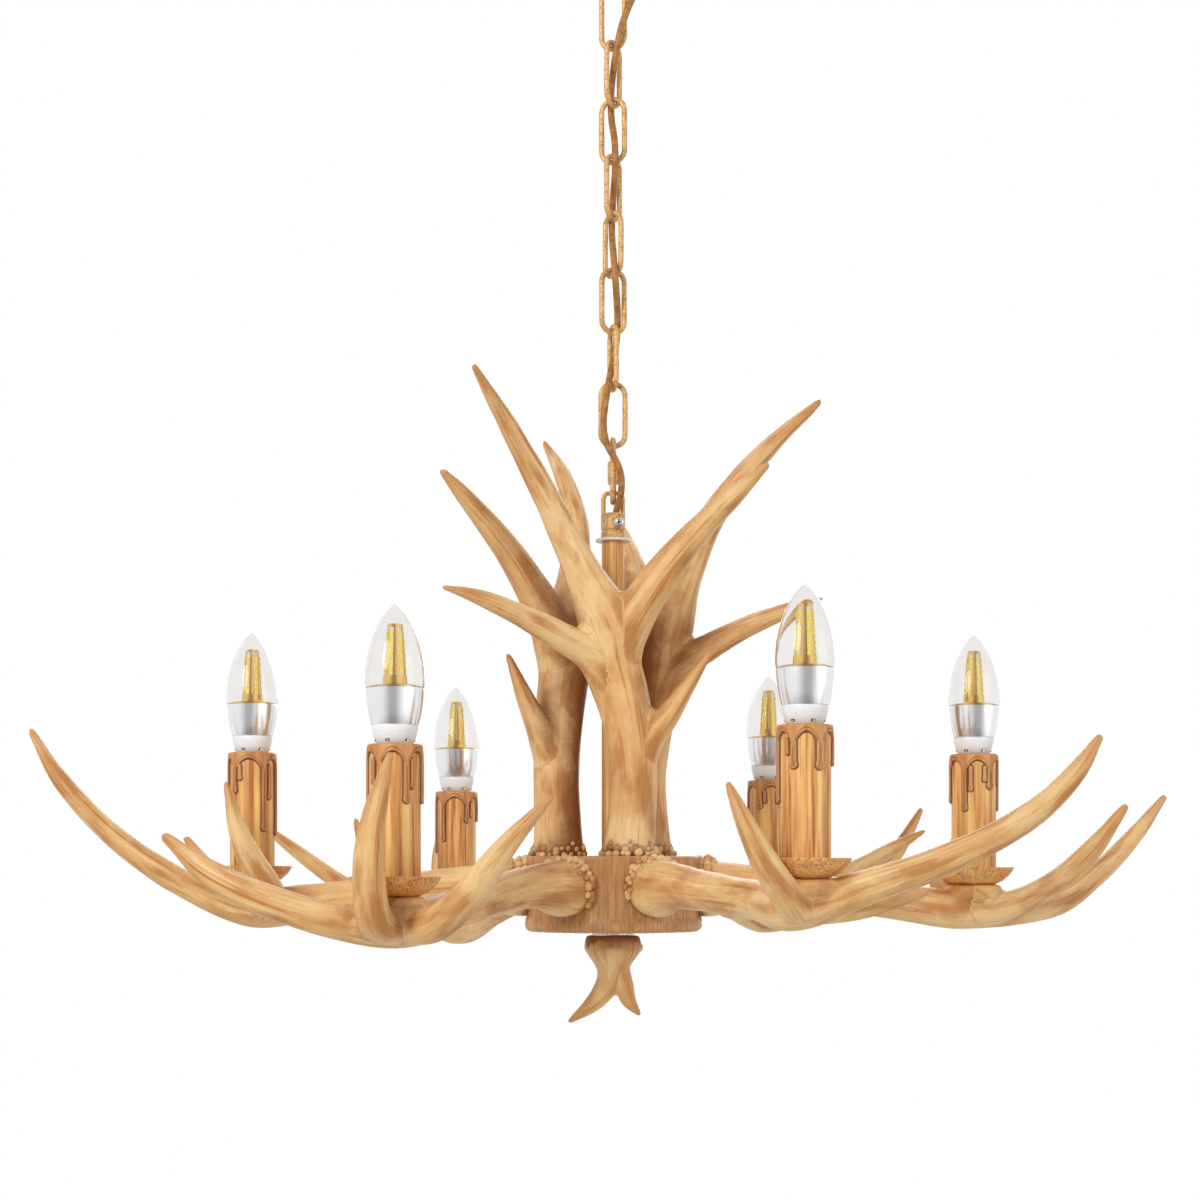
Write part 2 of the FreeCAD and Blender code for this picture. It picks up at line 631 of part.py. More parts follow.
def make_hub(drum, bolts):
    node("hub", drum.cut(bolts))
    node("antler_bolts", bolts)
    low = size("hub_above") - size("hub_height")
    way = turned_bar(size("tube_radius"), low - 20, low + 60, sides_of("tube"))
    cover = turned_bar(size("hub_radius") - size("hub_wall"), low, low + size("hub_cover_plate"), 16).cut(way)
    node("hub_cover", cover)
    nuts = []
    under_top = size("hub_above") - size("hub_top_plate") - size("tube_nut_height")
    for foot in (under_top, low + size("hub_cover_plate")):
        nuts.append(turned_bar(size("tube_nut_radius"), foot, foot + size("tube_nut_height"), 6).cut(way))
    node("tube_nuts", Part.makeCompound(nuts))
    ring_low = low - size("finial_ring_plate")
    ring_disc = turned_bar(size("finial_ring_radius"), ring_low, low, 20).cut(way)
    node("finial_ring", ring_disc)

    limbs = [limb(stations, BEAM_SIDES if i == 0 else TINE_SIDES) for i, stations in enumerate(FINIAL_LIMBS)]
    burr = coronet(V(0, 0, -16), V(0, 0, 1), 21.5, 11, 10)
    finial = limbs[0].fuse([limbs[1], burr])
    finial.translate(V(0, 0, low))
    node("finial", finial.cut(way).cut(turned_bar(30, ring_low, low + 20, 8)))


# ---------------------------------------------------------------- antlers
def make_arms(drum, bolts):
    for i, ((turn, lamp_height), (onward, *tines)) in enumerate(zip(LAMPS, ARM_LIMBS), start=1):
        beam = arm_beam(turn, lamp_height)
        fork = beam[-1]
        solid = limb(beam + list(onward), BEAM_SIDES)
        roots = [fork[:3] + (min(fork[3], tine[0][3] + 1),) for tine in tines]
        side_limbs = [limb([root] + list(tine), TINE_SIDES) for root, tine in zip(roots, tines)]
        burr = coronet(outward(turn) * 58 + V(0, 0, -10), outward(turn), 21.5, 11)
        lamp = outward(turn) * size("lamp_ring")
        pan_foot = lamp_height - size("pan_depth")
        place = (lamp.x, lamp.y)
        seat = turned_bar(size("seat_radius"), pan_foot - size("seat_below_pan"), pan_foot, 16, place)
        stud_foot = pan_foot - size("stud_in_seat")
        stud_bore = turned_bar(size("stud_radius"), stud_foot, pan_foot + 30, sides_of("stud"), place)
        above_pan = turned_bar(size("pan_radius"), pan_foot, pan_foot + 100, 16, place)
        whole = solid.fuse(side_limbs + [burr, seat]).cut(drum).cut(bolts).cut(stud_bore).cut(above_pan)
        node(f"arm_antler_{i}", largest(whole))


def largest(shape):
    """The main solid of a shape: a cut may leave a crumb inside the hub."""
    return max(shape.Solids, key=lambda solid: solid.Volume)


def make_uprights(drum, bolts):
    limbs = [limb(stations, BEAM_SIDES if i < 2 else TINE_SIDES) for i, stations in enumerate(UPRIGHT_LIMBS)]
    x, y = UPRIGHT_LIMBS[0][0][:2]
    casting = limbs[0].fuse(limbs[1:] + [coronet(V(x, y, 0), V(0, 0, 1), 20.5, 7)])
    casting.translate(V(0, 0, size("hub_above")))
    tube = turned_bar(size("tube_radius") + 0.4, -10, 300, sides_of("tube"))
    for i, turn in enumerate(UPRIGHT_TURNS, start=1):
        placed = casting.copy()
        placed.rotate(V(0, 0, 0), V(0, 0, 1), turn)
        node(f"upright_antler_{i}", largest(placed.cut(tube).cut(drum).cut(bolts)))


# ---------------------------------------------------------------- lamps
def make_lamp_masters():
    """One drip pan, candle, socket, stud and bulb, each on z = 0 at its pan's rim."""
    pan = cut("pan_master", turned("pan_outside", (
        ("Sheet.pan_foot", "-Sheet.pan_depth"), ("Sheet.pan_radius*0.74", "-Sheet.pan_depth*0.72"),
        ("Sheet.pan_radius*0.93", "-Sheet.pan_depth*0.3"), ("Sheet.pan_radius", "0"),
    ), sides_of("pan")), turned("pan_inside", (
        ("Sheet.pan_floor", "-Sheet.pan_depth*0.7"), ("Sheet.pan_radius*0.88", "-Sheet.pan_depth*0.28"),
        ("Sheet.pan_radius-Sheet.pan_wall", "0"),
    ), sides_of("pan")), turned("pan_hole", (
        ("Sheet.stud_radius", "-Sheet.pan_depth-1"), ("Sheet.stud_radius", "0"),
    ), sides_of("stud")))
    floor = "-Sheet.pan_depth*0.7"
    candle = cut("candle_master", turned("candle_outside", (
        ("Sheet.candle_radius", floor), ("Sheet.candle_radius", "Sheet.candle_height-Sheet.candle_lip_height"),
        ("Sheet.candle_lip", "Sheet.candle_height-Sheet.candle_lip_height*0.7"),
        ("Sheet.candle_lip", "Sheet.candle_height-2"), ("Sheet.candle_lip-1.8", "Sheet.candle_height"),
    ), sides_of("candle")), turned("candle_inside", (
        ("Sheet.candle_bore", "-Sheet.pan_depth"), ("Sheet.candle_bore", "Sheet.candle_height+1"),
    ), 12))
    top = "Sheet.candle_height-1.5"
    socket = cut("socket_master", turned("socket_outside", (
        ("Sheet.socket_radius", floor), ("Sheet.socket_radius", top),
    ), 8), turned("socket_inside", (
        ("Sheet.socket_bore", f"{top}-Sheet.socket_well"), ("Sheet.socket_bore", f"{top}+1"),
    ), 8), turned("socket_foot_bore", (
        ("Sheet.stud_radius", "-Sheet.pan_depth"), ("Sheet.stud_radius", "0"),
    ), sides_of("stud")))
    stud = turned("stud_master", (
        ("Sheet.stud_radius", "-Sheet.pan_depth-Sheet.stud_in_seat"), ("Sheet.stud_radius", "0"),
    ), sides_of("stud"))
    foot = "Sheet.candle_height+Sheet.bulb_play"
    base = fuse("bulb_base_master", turned("bulb_cap", (
        ("Sheet.cap_radius-2", f"{foot}-Sheet.cap_length"), ("Sheet.cap_radius", f"{foot}-Sheet.cap_length+3"),
        ("Sheet.cap_radius", f"{foot}+1"),
    ), 8), turned("bulb_housing", (
        ("Sheet.housing_foot", foot), ("Sheet.housing_top", f"{foot}+Sheet.housing_height"),
        ("Sheet.cup_radius", f"{foot}+Sheet.cup_height"),
    ), sides_of("bulb")), turned("bulb_column", (
        ("7.5", f"{foot}+Sheet.cup_height-1"), ("4", f"{foot}+Sheet.column_height"),
    ), 6))
    bottom = f"{foot}+Sheet.cup_height"
    glass = cut("bulb_glass_master", turned("glass_outside", (
        ("Sheet.cup_radius+0.4", bottom), ("Sheet.glass_radius", f"{foot}+Sheet.glass_widest"),
        ("Sheet.glass_radius*0.9", f"{foot}+Sheet.glass_height*0.68"),
        ("Sheet.glass_radius*0.56", f"{foot}+Sheet.glass_height*0.87"), ("1.4", f"{foot}+Sheet.glass_height"),
    ), sides_of("bulb")), turned("glass_inside", (
        ("Sheet.cup_radius-Sheet.glass_wall", bottom),
        ("Sheet.glass_radius-Sheet.glass_wall", f"{foot}+Sheet.glass_widest"),
        ("(Sheet.glass_radius-Sheet.glass_wall)*0.9", f"{foot}+Sheet.glass_height*0.68"),
        ("Sheet.glass_radius*0.4", f"{foot}+Sheet.glass_height*0.9"),
    ), sides_of("bulb")))
    singles = {"candle_sleeve": candle, "bulb_base": base, "bulb_glass": glass}
    return singles, {"drip_pans": pan, "lamp_sockets": socket, "lamp_studs": stud}


def make_lamps():
    masters, groups = make_lamp_masters()
    doc.recompute()
    for i, (turn, lamp_height) in enumerate(LAMPS, start=1):
        place = outward(turn) * size("lamp_ring")
        for kind, master in masters.items():
            node(f"{kind}_{i}", master.Shape, 0, f"{lamp_height}-Sheet.lamp_drop", (place.x, place.y))
    for label, master in groups.items():
        copies = []
        for turn, lamp_height in LAMPS:
            copies.append(master.Shape.copy())
            copies[-1].translate(outward(turn) * size("lamp_ring") + V(0, 0, lamp_height))
        node(label, Part.makeCompound(copies))


# ---------------------------------------------------------------- cord
def make_cord():
    """The supply cord: straight runs joined by tangent arcs along the hand-chosen route."""
    route = [V(*point) for point in CORD_ROUTE]
    edges, length, here = [], 0.0, route[0]
    for before, corner, after in zip(route, route[1:], route[2:]):
        back, on = (before - corner), (after - corner)
        turn = math.pi - back.getAngle(on)
        radius = 0.45 * min(back.Length, on.Length) / math.tan(turn / 2)
        trim = radius * math.tan(turn / 2)
        start, end = corner + back.normalize() * trim, corner + on.normalize() * trim
        halfway = (start + end) * 0.5
        centre = corner + (halfway - corner).normalize() * (radius / math.cos(turn / 2))
        middle = centre + (corner - centre).normalize() * radius
        edges += [Part.LineSegment(here, start).toShape(), Part.Arc(start, middle, end).toShape()]
        length += (start - here).Length + radius * turn
        here = end
        print(f"cord bend at z {corner.z:.0f}: turn {math.degrees(turn):.0f} deg, radius {radius:.0f} mm")
    edges.append(Part.LineSegment(here, route[-1]).toShape())
    length += (route[-1] - here).Length
    path = Part.Wire(edges)
    along = (route[1] - route[0]).normalize()
    side = V(0, 1, 0) - along * along.y
    across = along.cross(side.normalize())
    corners = []
    for k in range(6):
        angle = math.pi * k / 3
        corners.append(route[0] + (side * math.cos(angle) + across * math.sin(angle)) * size("cord_radius"))
    section = Part.makePolygon(corners + corners[:1])
    cord = path.makePipeShell([section], True, True)
    area = Part.Face(section).Area
    print(f"cord length {length:.1f} mm, volume {cord.Volume:.0f} against {area * length:.0f} mm3")
    node("power_cord", cord)


def main():
    drum = hub_drum()
    bolts = Part.makeCompound([bolt(place, along) for place, along in bolt_places()])
    make_ceiling_plate()
    make_bracket()
    make_ceiling_loop()
    make_chain()
    make_quick_link()
    make_top_fitting()
    make_hub(drum, bolts)
    make_arms(drum, bolts)
    make_uprights(drum, bolts)
    make_lamps()
    make_cord()
    doc.recompute()
    failed = [o.Name for o in doc.Objects if "Invalid" in o.State or "Error" in o.State]
    bad = [p.Label for p in pieces if p.Shape.isNull() or not p.Shape.isValid() or not p.Shape.Solids]
    if failed or bad:
        raise RuntimeError(f"failed objects {failed}, bad shapes {bad}")
    os.makedirs("parts", exist_ok=True)
    for piece in pieces:
        piece.Shape.exportStep(f"parts/{piece.Label}.step")
    print(len(pieces), "nodes")


main()
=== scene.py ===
"""The looks of an antler chandelier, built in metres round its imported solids."""

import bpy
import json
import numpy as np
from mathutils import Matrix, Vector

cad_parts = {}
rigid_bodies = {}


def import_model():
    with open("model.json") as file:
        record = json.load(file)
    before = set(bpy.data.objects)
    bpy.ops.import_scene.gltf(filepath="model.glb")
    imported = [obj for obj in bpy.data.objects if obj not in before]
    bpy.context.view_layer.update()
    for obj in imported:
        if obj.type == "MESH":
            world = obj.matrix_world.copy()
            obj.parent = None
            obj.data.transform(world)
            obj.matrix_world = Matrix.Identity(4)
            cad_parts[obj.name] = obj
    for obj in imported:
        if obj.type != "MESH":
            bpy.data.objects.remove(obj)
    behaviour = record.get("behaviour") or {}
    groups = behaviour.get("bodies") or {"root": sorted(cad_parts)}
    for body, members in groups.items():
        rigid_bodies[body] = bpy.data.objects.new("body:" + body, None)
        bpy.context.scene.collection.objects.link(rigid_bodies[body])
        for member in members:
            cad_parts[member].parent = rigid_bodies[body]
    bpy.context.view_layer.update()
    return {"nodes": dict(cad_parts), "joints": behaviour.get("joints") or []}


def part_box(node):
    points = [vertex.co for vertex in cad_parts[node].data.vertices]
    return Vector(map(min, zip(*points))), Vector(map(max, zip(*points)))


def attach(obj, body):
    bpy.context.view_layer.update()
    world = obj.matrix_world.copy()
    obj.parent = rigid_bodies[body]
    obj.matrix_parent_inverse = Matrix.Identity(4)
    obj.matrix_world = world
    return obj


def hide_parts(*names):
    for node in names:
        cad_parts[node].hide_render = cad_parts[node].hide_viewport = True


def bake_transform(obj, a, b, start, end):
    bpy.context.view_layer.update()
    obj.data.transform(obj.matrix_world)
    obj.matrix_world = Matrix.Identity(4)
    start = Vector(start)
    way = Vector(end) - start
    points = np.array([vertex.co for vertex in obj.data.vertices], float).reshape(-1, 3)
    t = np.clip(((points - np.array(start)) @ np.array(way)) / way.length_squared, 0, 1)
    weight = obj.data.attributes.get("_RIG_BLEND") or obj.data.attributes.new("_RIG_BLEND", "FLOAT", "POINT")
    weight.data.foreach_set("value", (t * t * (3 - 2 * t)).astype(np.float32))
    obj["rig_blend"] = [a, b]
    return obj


bl_info = {
    "name": "Antler chandelier",
    "version": (1, 0, 0),
    "blender": (4, 5, 0),
    "location": "3D View > Sidebar > Chandelier",
    "description": "Builds a hanging lamp of cast antlers with six candle lamps round its solids",
    "category": "Object",
}

import bmesh
import bpy
import json
import math
import numpy as np
import random
from bpy.props import FloatProperty, FloatVectorProperty, IntProperty, PointerProperty
from mathutils import Matrix, Vector, noise
from mathutils.bvhtree import BVHTree
from mathutils.kdtree import KDTree

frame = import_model()

MM = 0.001
LAMP_DROP = 680  # from the ceiling to the lamp plane, where the pans' rims are, in millimetres
HUB_TOP = 11  # heights from here on are above the lamp plane
HUB_FOOT = -42
FINIAL_TOP = HUB_FOOT - 2.6
LAMP_RING = 254  # radius of the ring of lamps
FOOT_REACH = 62  # from the hub's middle to the feet of the arms
FOOT_HEIGHT = -11
HUB_HOLLOW = 47  # radius
SLEEVE_RADIUS = 15.5
SLEEVE_TOP = 80.0  # above the lamp's own height, as the bulb's foot is
BULB_FOOT = 80.3
TUBE_TOP = 234.0
SKIN_SMOOTHING = 12  # rounds
HUB_VOXEL, FINIAL_VOXEL = 0.0013, 0.0011  # metres
CROTCH_ROUNDS = 90  # of smoothing where limbs meet
CROTCH_DEPTH = 0.9  # of a valley that is filled whole
EYE_WIRE = 1.65  # radius
BEND = 9  # how far above and below a joint the cord bends

# Each lamp: its direction in degrees, 0 to the front and 90 to the right, and its height above the lamp plane.
LAMPS = ((26.5, 8), (90, 3), (150, -6), (-150.5, -15), (-90, 4), (-31.5, -3))
LINK_TURNS = (-20, 58, -20, 58, -50, 22, -75, 5)
LINK_SIZE = (47.9, 20.8, 3.8)  # long, wide, and its wire
LINK_PITCH = 40.0
LAST_LINK_FOOT = 297.7  # above the lamp plane
QUICK_FOOT = 258.5
QUICK_SIZE = (47.5, 19.6, 4.2)

# Limbs are stations (x, y, z, radius) in millimetres. Heights are from the lamp plane for the arms,
# from the hub's top for the uprights, and from the finial's top for the finial.
ARM_LIMBS = (
    (
        ((153, -233, -8, 10.4), (197, -245, 8, 9.4), (241, -255, 32, 8.2), (268, -260, 58, 6.2),
         (281, -262, 78, 3)),
        ((103, -240, -16, 10.4), (89, -251, 3, 8.8), (78, -256, 24, 6.6), (66, -255, 51, 2.4)),
        ((140, -205, -22, 9), (166, -198, -17, 7.4), (190, -193, -12, 3.4)),
    ),
    (
        ((312, 8, -22, 9.8), (346, 26, -2, 8.2), (378, 42, 27, 6.5), (401, 50, 54, 2.8)),
        ((272, -8, -25, 10.4), (302, -24, -10, 9), (326, -40, 13, 7.6), (348, -50, 44, 3.2)),
        ((236, 28, -8, 9), (246, 41, 13, 6.8), (255, 46, 36, 3)),
    ),
    (
        ((160, 250, -32, 10), (200, 272, -16, 8.8), (238, 292, 14, 7.2), (262, 302, 52, 2.8)),
        ((165, 226, -14, 8.8), (198, 224, 3, 7.2), (227, 220, 19, 5.6), (252, 215, 33, 2.4)),
        ((142, 250, -14, 8.6), (148, 260, 16, 7), (146, 262, 54, 2.6)),
    ),
    (
        ((-150, 258, -40, 10), (-182, 288, -24, 8.8), (-206, 312, 6, 7), (-218, 322, 44, 2.8)),
        ((-176, 234, -28, 8.6), (-218, 235, -10, 7.2), (-258, 226, 19, 5.6), (-284, 216, 40, 2.4)),
        ((-138, 250, -24, 8.6), (-142, 262, 8, 7), (-138, 264, 48, 2.6)),
    ),
    (
        ((-262, -8, -26, 10.6), (-306, -20, -4, 9.4), (-350, -24, 28, 8), (-384, -27, 66, 6),
         (-402, -28, 97, 3)),
        ((-238, -26, -14, 10.8), (-247, -38, 5, 9.6), (-256, -46, 28, 6.8), (-264, -48, 60, 2.6)),
        ((-262, 26, -18, 8.4), (-288, 44, -2, 6.8), (-311, 55, 24, 3)),
    ),
    (
        ((-161, -228, -31, 11), (-206, -226, -18, 10), (-244, -216, -1, 8.4), (-274, -200, 21, 3.6)),
        ((-142, -244, -28, 11.4), (-144, -257, -8, 10), (-142, -262, 24, 8.2), (-132, -258, 68, 2.8)),
        ((-106, -242, -30, 11), (-84, -262, -11, 9.4), (-63, -275, 15, 7), (-37, -287, 43, 2.4)),
    ),
)
UPRIGHT_TURNS = (0, 126, -120)
UPRIGHT_LIMBS = (
    ((11, -38, 0, 19.5), (12, -38, 14, 17.6), (14, -38, 62, 16.6), (9, -39, 98, 17.6),
     (1, -40, 130, 18.6), (-4, -42, 156, 20), (-24, -46, 199, 12.6), (-47, -58, 246, 9),
     (-71, -84, 287, 6.6), (-91, -112, 318, 2.8)),
    ((6, -39, 104, 14.5), (3, -41, 140, 17.6), (20, -45, 173, 14.4), (42, -52, 203, 11.2), (63, -60, 226, 8.8),
     (85, -68, 246, 6.4), (102, -75, 261, 3)),
    ((9, -38, 76, 11.5), (0, -40, 112, 14.4), (-13, -47, 135, 12.6), (-35, -58, 148, 10), (-60, -70, 160, 8),
     (-88, -86, 171, 5.4), (-112, -95, 177, 2.4)),
    ((13, -38, 30, 11.5), (16, -39, 62, 13.2), (27, -41, 84, 10.8), (37, -42, 96, 8.6), (48, -44, 112, 6.4),
     (65, -46, 138, 2.4)),
)
FINIAL_LIMBS = (
    ((0, 0, -3, 14), (0, 0, -12, 14), (-0.5, 0, -23, 11.2), (-3, 0, -33, 9), (-12, 0, -46, 6.8),
     (-30, 0, -60, 2.2)),
    ((0, 0, -12, 11), (3, 0, -25, 9.4), (7.6, 0, -36, 7.2), (11, 0, -46, 5.4), (18, 0, -55, 2)),
)
# The cord's route from the ceiling plate to the tube, in millimetres, z from the lamp plane.
CORD_ROUTE = (
    (24, -4, 653), (23.5, -4.6, 630), (10.9, -7.2, 608.6), (2.5, -10.2, 580), (-2.9, 13, 542.6),
    (2.8, -17.1, 501.5), (-1.6, 17.8, 462.3), (1.1, -17.7, 420.4), (4.4, 13.4, 381.5), (-4.7, -13.3, 335.6),
    (-8.1, -13.2, 303.3), (5.4, -12.5, 282.5), (6.3, -9.2, 265.1), (1.2, -1.7, 251.7), (0, 0, 236),
)
# Turned profiles: (radius, height) corners in millimetres, each from its own foot or middle.
FINIAL_HEAD = ((0, -26), (10.5, -26), (13, -20.5), (17, -15), (19.4, -11), (19.8, -3), (18.6, 0), (0, 0))
FINIAL_LUMPS = 19
PAN = (
    (4.7, -12), (14.2, -12), (15.6, -11.2), (20.4, -9), (25, -4.8), (27.4, -1.2), (28, -0.2), (27.6, 0.3),
    (26.8, 0), (25.6, -2), (22.4, -5.8), (18.2, -8.1), (4.7, -8.4), (4.7, -12),
)
SLEEVE_LIP = ((15.5, 1.2), (15.2, 0.4), (14.6, 0), (13.8, 0), (13.4, 0.6))  # heights down from its top
SCREW_RING = ((6.5, -19), (6.95, -18.3), (6.95, -17.6), (6.5, -16.9))
BULB_CAP = (
    (0, -23.9), (4.2, -23.9), (5, -22), (6.3, -20),
    *((radius, height + 2.8 * k) for k in range(6) for radius, height in SCREW_RING), (6.5, -1.4), (0, -1.4),
)
BULB_HOUSING = (
    (0, -1.4), (9.2, -1.4), (10.4, -0.6), (11.6, 1.2), (12.7, 4), (13.6, 7.4), (14.1, 10.6), (13.9, 11.1),
    (0, 11.1),
)
BULB_CUP = (
    (0, 11.1), (13.7, 11.1), (14.2, 11.4), (15.4, 15.6), (16.5, 21.4), (17.2, 27.6), (17.5, 33), (17.2, 33.5),
    (16.4, 33.4), (15.8, 32.4), (0, 32.4),
)
BULB_DISC = (
    (0, 32.6), (16, 32.6), (16.1, 34.2), (14.8, 34.9), (8.6, 35.4), (7.4, 36.6), (7.2, 40.6), (0, 40.6),
)
BULB_FINISHES = ("white_plastic", "cup_metal", "gold_metal", "chip", "dark_slot", "steel")
BULB_TURNED = (
    (BULB_CAP, 40, "steel"), (BULB_HOUSING, 56, "white_plastic"), (BULB_CUP, 72, "cup_metal"),
    (BULB_DISC, 48, "gold_metal"),
)
COLUMN_HEIGHT = 32.6
VENTS = 6
SHELL_OUTSIDE = (
    (17.5, 33.7), (17.9, 36), (18.0, 39), (17.8, 44), (17.1, 50), (15.9, 56), (14.2, 62), (11.9, 68),
    (9.2, 73.5), (6.3, 78), (3.6, 81.3), (1.5, 83.2), (0, 84),
)
SHELL_INSIDE = (
    (0, 83.3), (1.2, 82.6), (3.1, 80.8), (5.7, 77.5), (8.5, 73.1), (11.2, 67.6), (13.5, 61.7), (15.2, 55.8),
    (16.4, 49.8), (17, 43.8), (17.2, 39), (17.1, 36.2), (16.8, 33.7), (17.5, 33.7),
)
QUICK_SLEEVE = ((2.4, -8.2), (3.4, -8.2), (3.9, -7.4), (3.9, 7.4), (3.4, 8.2), (2.4, 8.2), (2.4, -8.2))
COUPLER = (
    (6.3, 0.2), (8, 0.2), (8.5, 0.8), (8.5, 5), (7.7, 5.6), (7.7, 6.4), (8.5, 7), (8.5, 15.4), (7.9, 16),
    (7.9, 16.6), (8.4, 17.2), (8, 18), (5.2, 18), (5.2, 12), (6.3, 12), (6.3, 0.2),
)
COUPLER_EYE = (  # (x, z) along its wire
    (-6.85, 15), (-6.85, 28), (-6.2, 31), (-4.4, 32.6), (4.4, 32.6), (6.2, 31), (6.85, 28), (6.85, 15),
)
SCREW = ((0, -2.6), (1.9, -2.6), (1.9, 0), (3.7, 0), (3.7, 0.8), (3.1, 1.7), (1.6, 2.2), (0, 2.3))
WASHER = ((6.3, -1.6), (12.2, -1.6), (12.5, -1.2), (12.5, -0.3), (12.2, 0), (6.3, 0), (6.3, -1.6))
TUBE_FOOT = HUB_FOOT - 20
TUBE = (
    (4.4, TUBE_FOOT), (7.9, TUBE_FOOT), (8, TUBE_FOOT + 0.4), (8, TUBE_TOP - 2), (7.6, TUBE_TOP - 1.7),
    (6.1, TUBE_TOP - 1.7), (6.1, TUBE_TOP + 11.8), (4.4, TUBE_TOP + 11.8), (4.4, TUBE_FOOT),
)
CANOPY = (
    (60.8, 0), (62.2, 0), (62.5, -0.5), (62.5, -2.8), (61.8, -4.4), (60.6, -6.6), (58.2, -10), (54, -14.4),
    (47.6, -19), (40, -22.4), (30, -25.2), (20, -27), (13, -27.8), (5.1, -28), (5.1, -26.4), (20, -25.4),
    (30, -23.7), (39.4, -21), (46.6, -17.6), (52.8, -13.2), (57, -9), (60.4, -3.6), (60.8, 0),
)
COLLAR = (
    (5.1, -33), (8.6, -33), (9.4, -32.2), (10, -30.5), (9.4, -28.8), (8.8, -28.1), (5.1, -28.1), (5.1, -33),
)
STEM = ((0, -32.9), (4.7, -32.9), (5, -32.4), (5, -1), (4.6, -0.6), (0, -0.6))
BUSH = (
    (3, -30.2), (6, -30.2), (6.8, -29.4), (6.8, -27.8), (5, -27.6), (5, -18.2), (4.6, -18), (3, -18),
    (3, -30.2),
)

# The nodes that keep their solids, by finish.
KEPT_SOLIDS = {
    "steel": ("ceiling_bracket", "bracket_screws", "lamp_studs", "antler_bolts", "tube_nuts", "finial_ring"),
    "white_plastic": ("lamp_sockets", "terminal_block"),
    "cover_wood": ("hub_cover",),
}
# Each light: name, place and width in metres, power in watts.
LIGHTS = (
    ("key", (-1.1, -1.7, 0.3), 1.0, 25.0), ("fill", (1.8, -1.0, -0.2), 1.2, 8.0),
    ("back", (0.4, 1.7, 0.2), 1.4, 12.0),
)
LIT_SPOT = (0, 0, -0.6)
CAMERA_ASIDE = -9.2  # millimetres
CAMERA_SHIFT = 272 / 1200  # of the picture's width

# The materials and the tree of recesses that are already made; the tree measures the shade painted into the
# antlers.
FINISHES = {}
SURROUNDINGS = {}


def colour(default, name, description):
    return FloatVectorProperty(
        name=name, description=description, default=default, size=3, min=0, max=1, subtype="COLOR_GAMMA"
    )


def length(default, name, description):
    return FloatProperty(name=name, description=description, default=default, unit="LENGTH", precision=4)


class AntlerLook(bpy.types.PropertyGroup):
    voxel: length(0.0016, "Skin cell", "Size of the cells that join an antler's limbs")
    furrow_depth: length(0.0007, "Furrow depth", "How deep the furrows run along a limb")
    bead_radius: length(0.0028, "Pearl radius", "Radius of the pearls round an antler's foot")
    pale: colour((0.97, 0.83, 0.60), "Pale", "Colour of the raised bone")
    tan: colour((0.90, 0.71, 0.47), "Tan", "Colour of most of the antler")
    streak: colour((0.75, 0.49, 0.26), "Streak", "Colour of the streaks along a limb")
    # Laid as stain in furrows, lines and round the pearls, and also as the shade painted into recesses.
    stain_and_shade: colour((0.44, 0.25, 0.11), "Hollow", "Colour of the stain in furrows and round pearls")
    tip: colour((0.80, 0.55, 0.31), "Tip", "Colour towards the points")


class HubLook(bpy.types.PropertyGroup):
    radius: length(0.062, "Radius", "Radius of the turned hub")
    lumps: IntProperty(name="Lumps", description="Carved lumps round the hub's foot", default=64, min=8)
    wood: colour((0.76, 0.55, 0.34), "Wood", "Main colour of the hub")
    grain: colour((0.66, 0.46, 0.27), "Grain", "Colour of the hub's upright grain")


class CandleLook(bpy.types.PropertyGroup):
    arches: IntProperty(name="Arches", description="Scallops of wax round a candle's top", default=6, min=3)
    wax_thickness: length(0.0019, "Wax thickness", "How far the run wax stands out")
    wood: colour((0.95, 0.71, 0.42), "Wood", "Main colour of the candle sleeve")
    wax: colour((0.76, 0.47, 0.25), "Wax", "Colour of the run wax")
    grain: colour((0.69, 0.41, 0.17), "Grain", "Colour of the sleeve's upright grain")
    outline: colour((0.34, 0.15, 0.06), "Outline", "Colour of the stain round the run wax")


class BulbLook(bpy.types.PropertyGroup):
    chip_rows: IntProperty(name="Rows", description="Rows of chips round the column", default=6, min=2)
    chips: IntProperty(name="Chips", description="Chips in one row", default=7, min=3)
    gold: colour((0.93, 0.78, 0.46), "Gold", "Colour of the bulb's inner column")
    phosphor: colour((0.98, 0.86, 0.16), "Phosphor", "Colour of the chips")
    cup: colour((0.90, 0.90, 0.91), "Cup", "Colour of the bulb's metal cup")


class ChainLook(bpy.types.PropertyGroup):
    hammer: length(0.0002, "Hammering", "Depth of the marks on the links")
    gold: colour((0.87, 0.69, 0.44), "Gold", "Light colour of the speckled paint")
    speck: colour((0.50, 0.32, 0.15), "Speck", "Dark colour of the speckled paint")
    cord_cover: colour((0.73, 0.49, 0.22), "Cord", "Colour of the cord")
    cord_diameter: length(0.0048, "Cord diameter", "Diameter of the cord")


class StageLook(bpy.types.PropertyGroup):
    floor_drop: length(1.75, "Floor", "Distance of the floor below the ceiling")
    camera_distance: length(1.5, "Camera distance", "Distance of the camera from the middle")
    lens: FloatProperty(name="Lens", description="Focal length on a 36 mm sensor", default=63.9, unit="CAMERA")
    sky: FloatProperty(name="Sky", description="Strength of the even light", default=0.46, min=0)


LOOKS = {
    "antler": AntlerLook, "hub": HubLook, "candle": CandleLook, "bulb": BulbLook, "chain": ChainLook,
    "stage": StageLook,
}


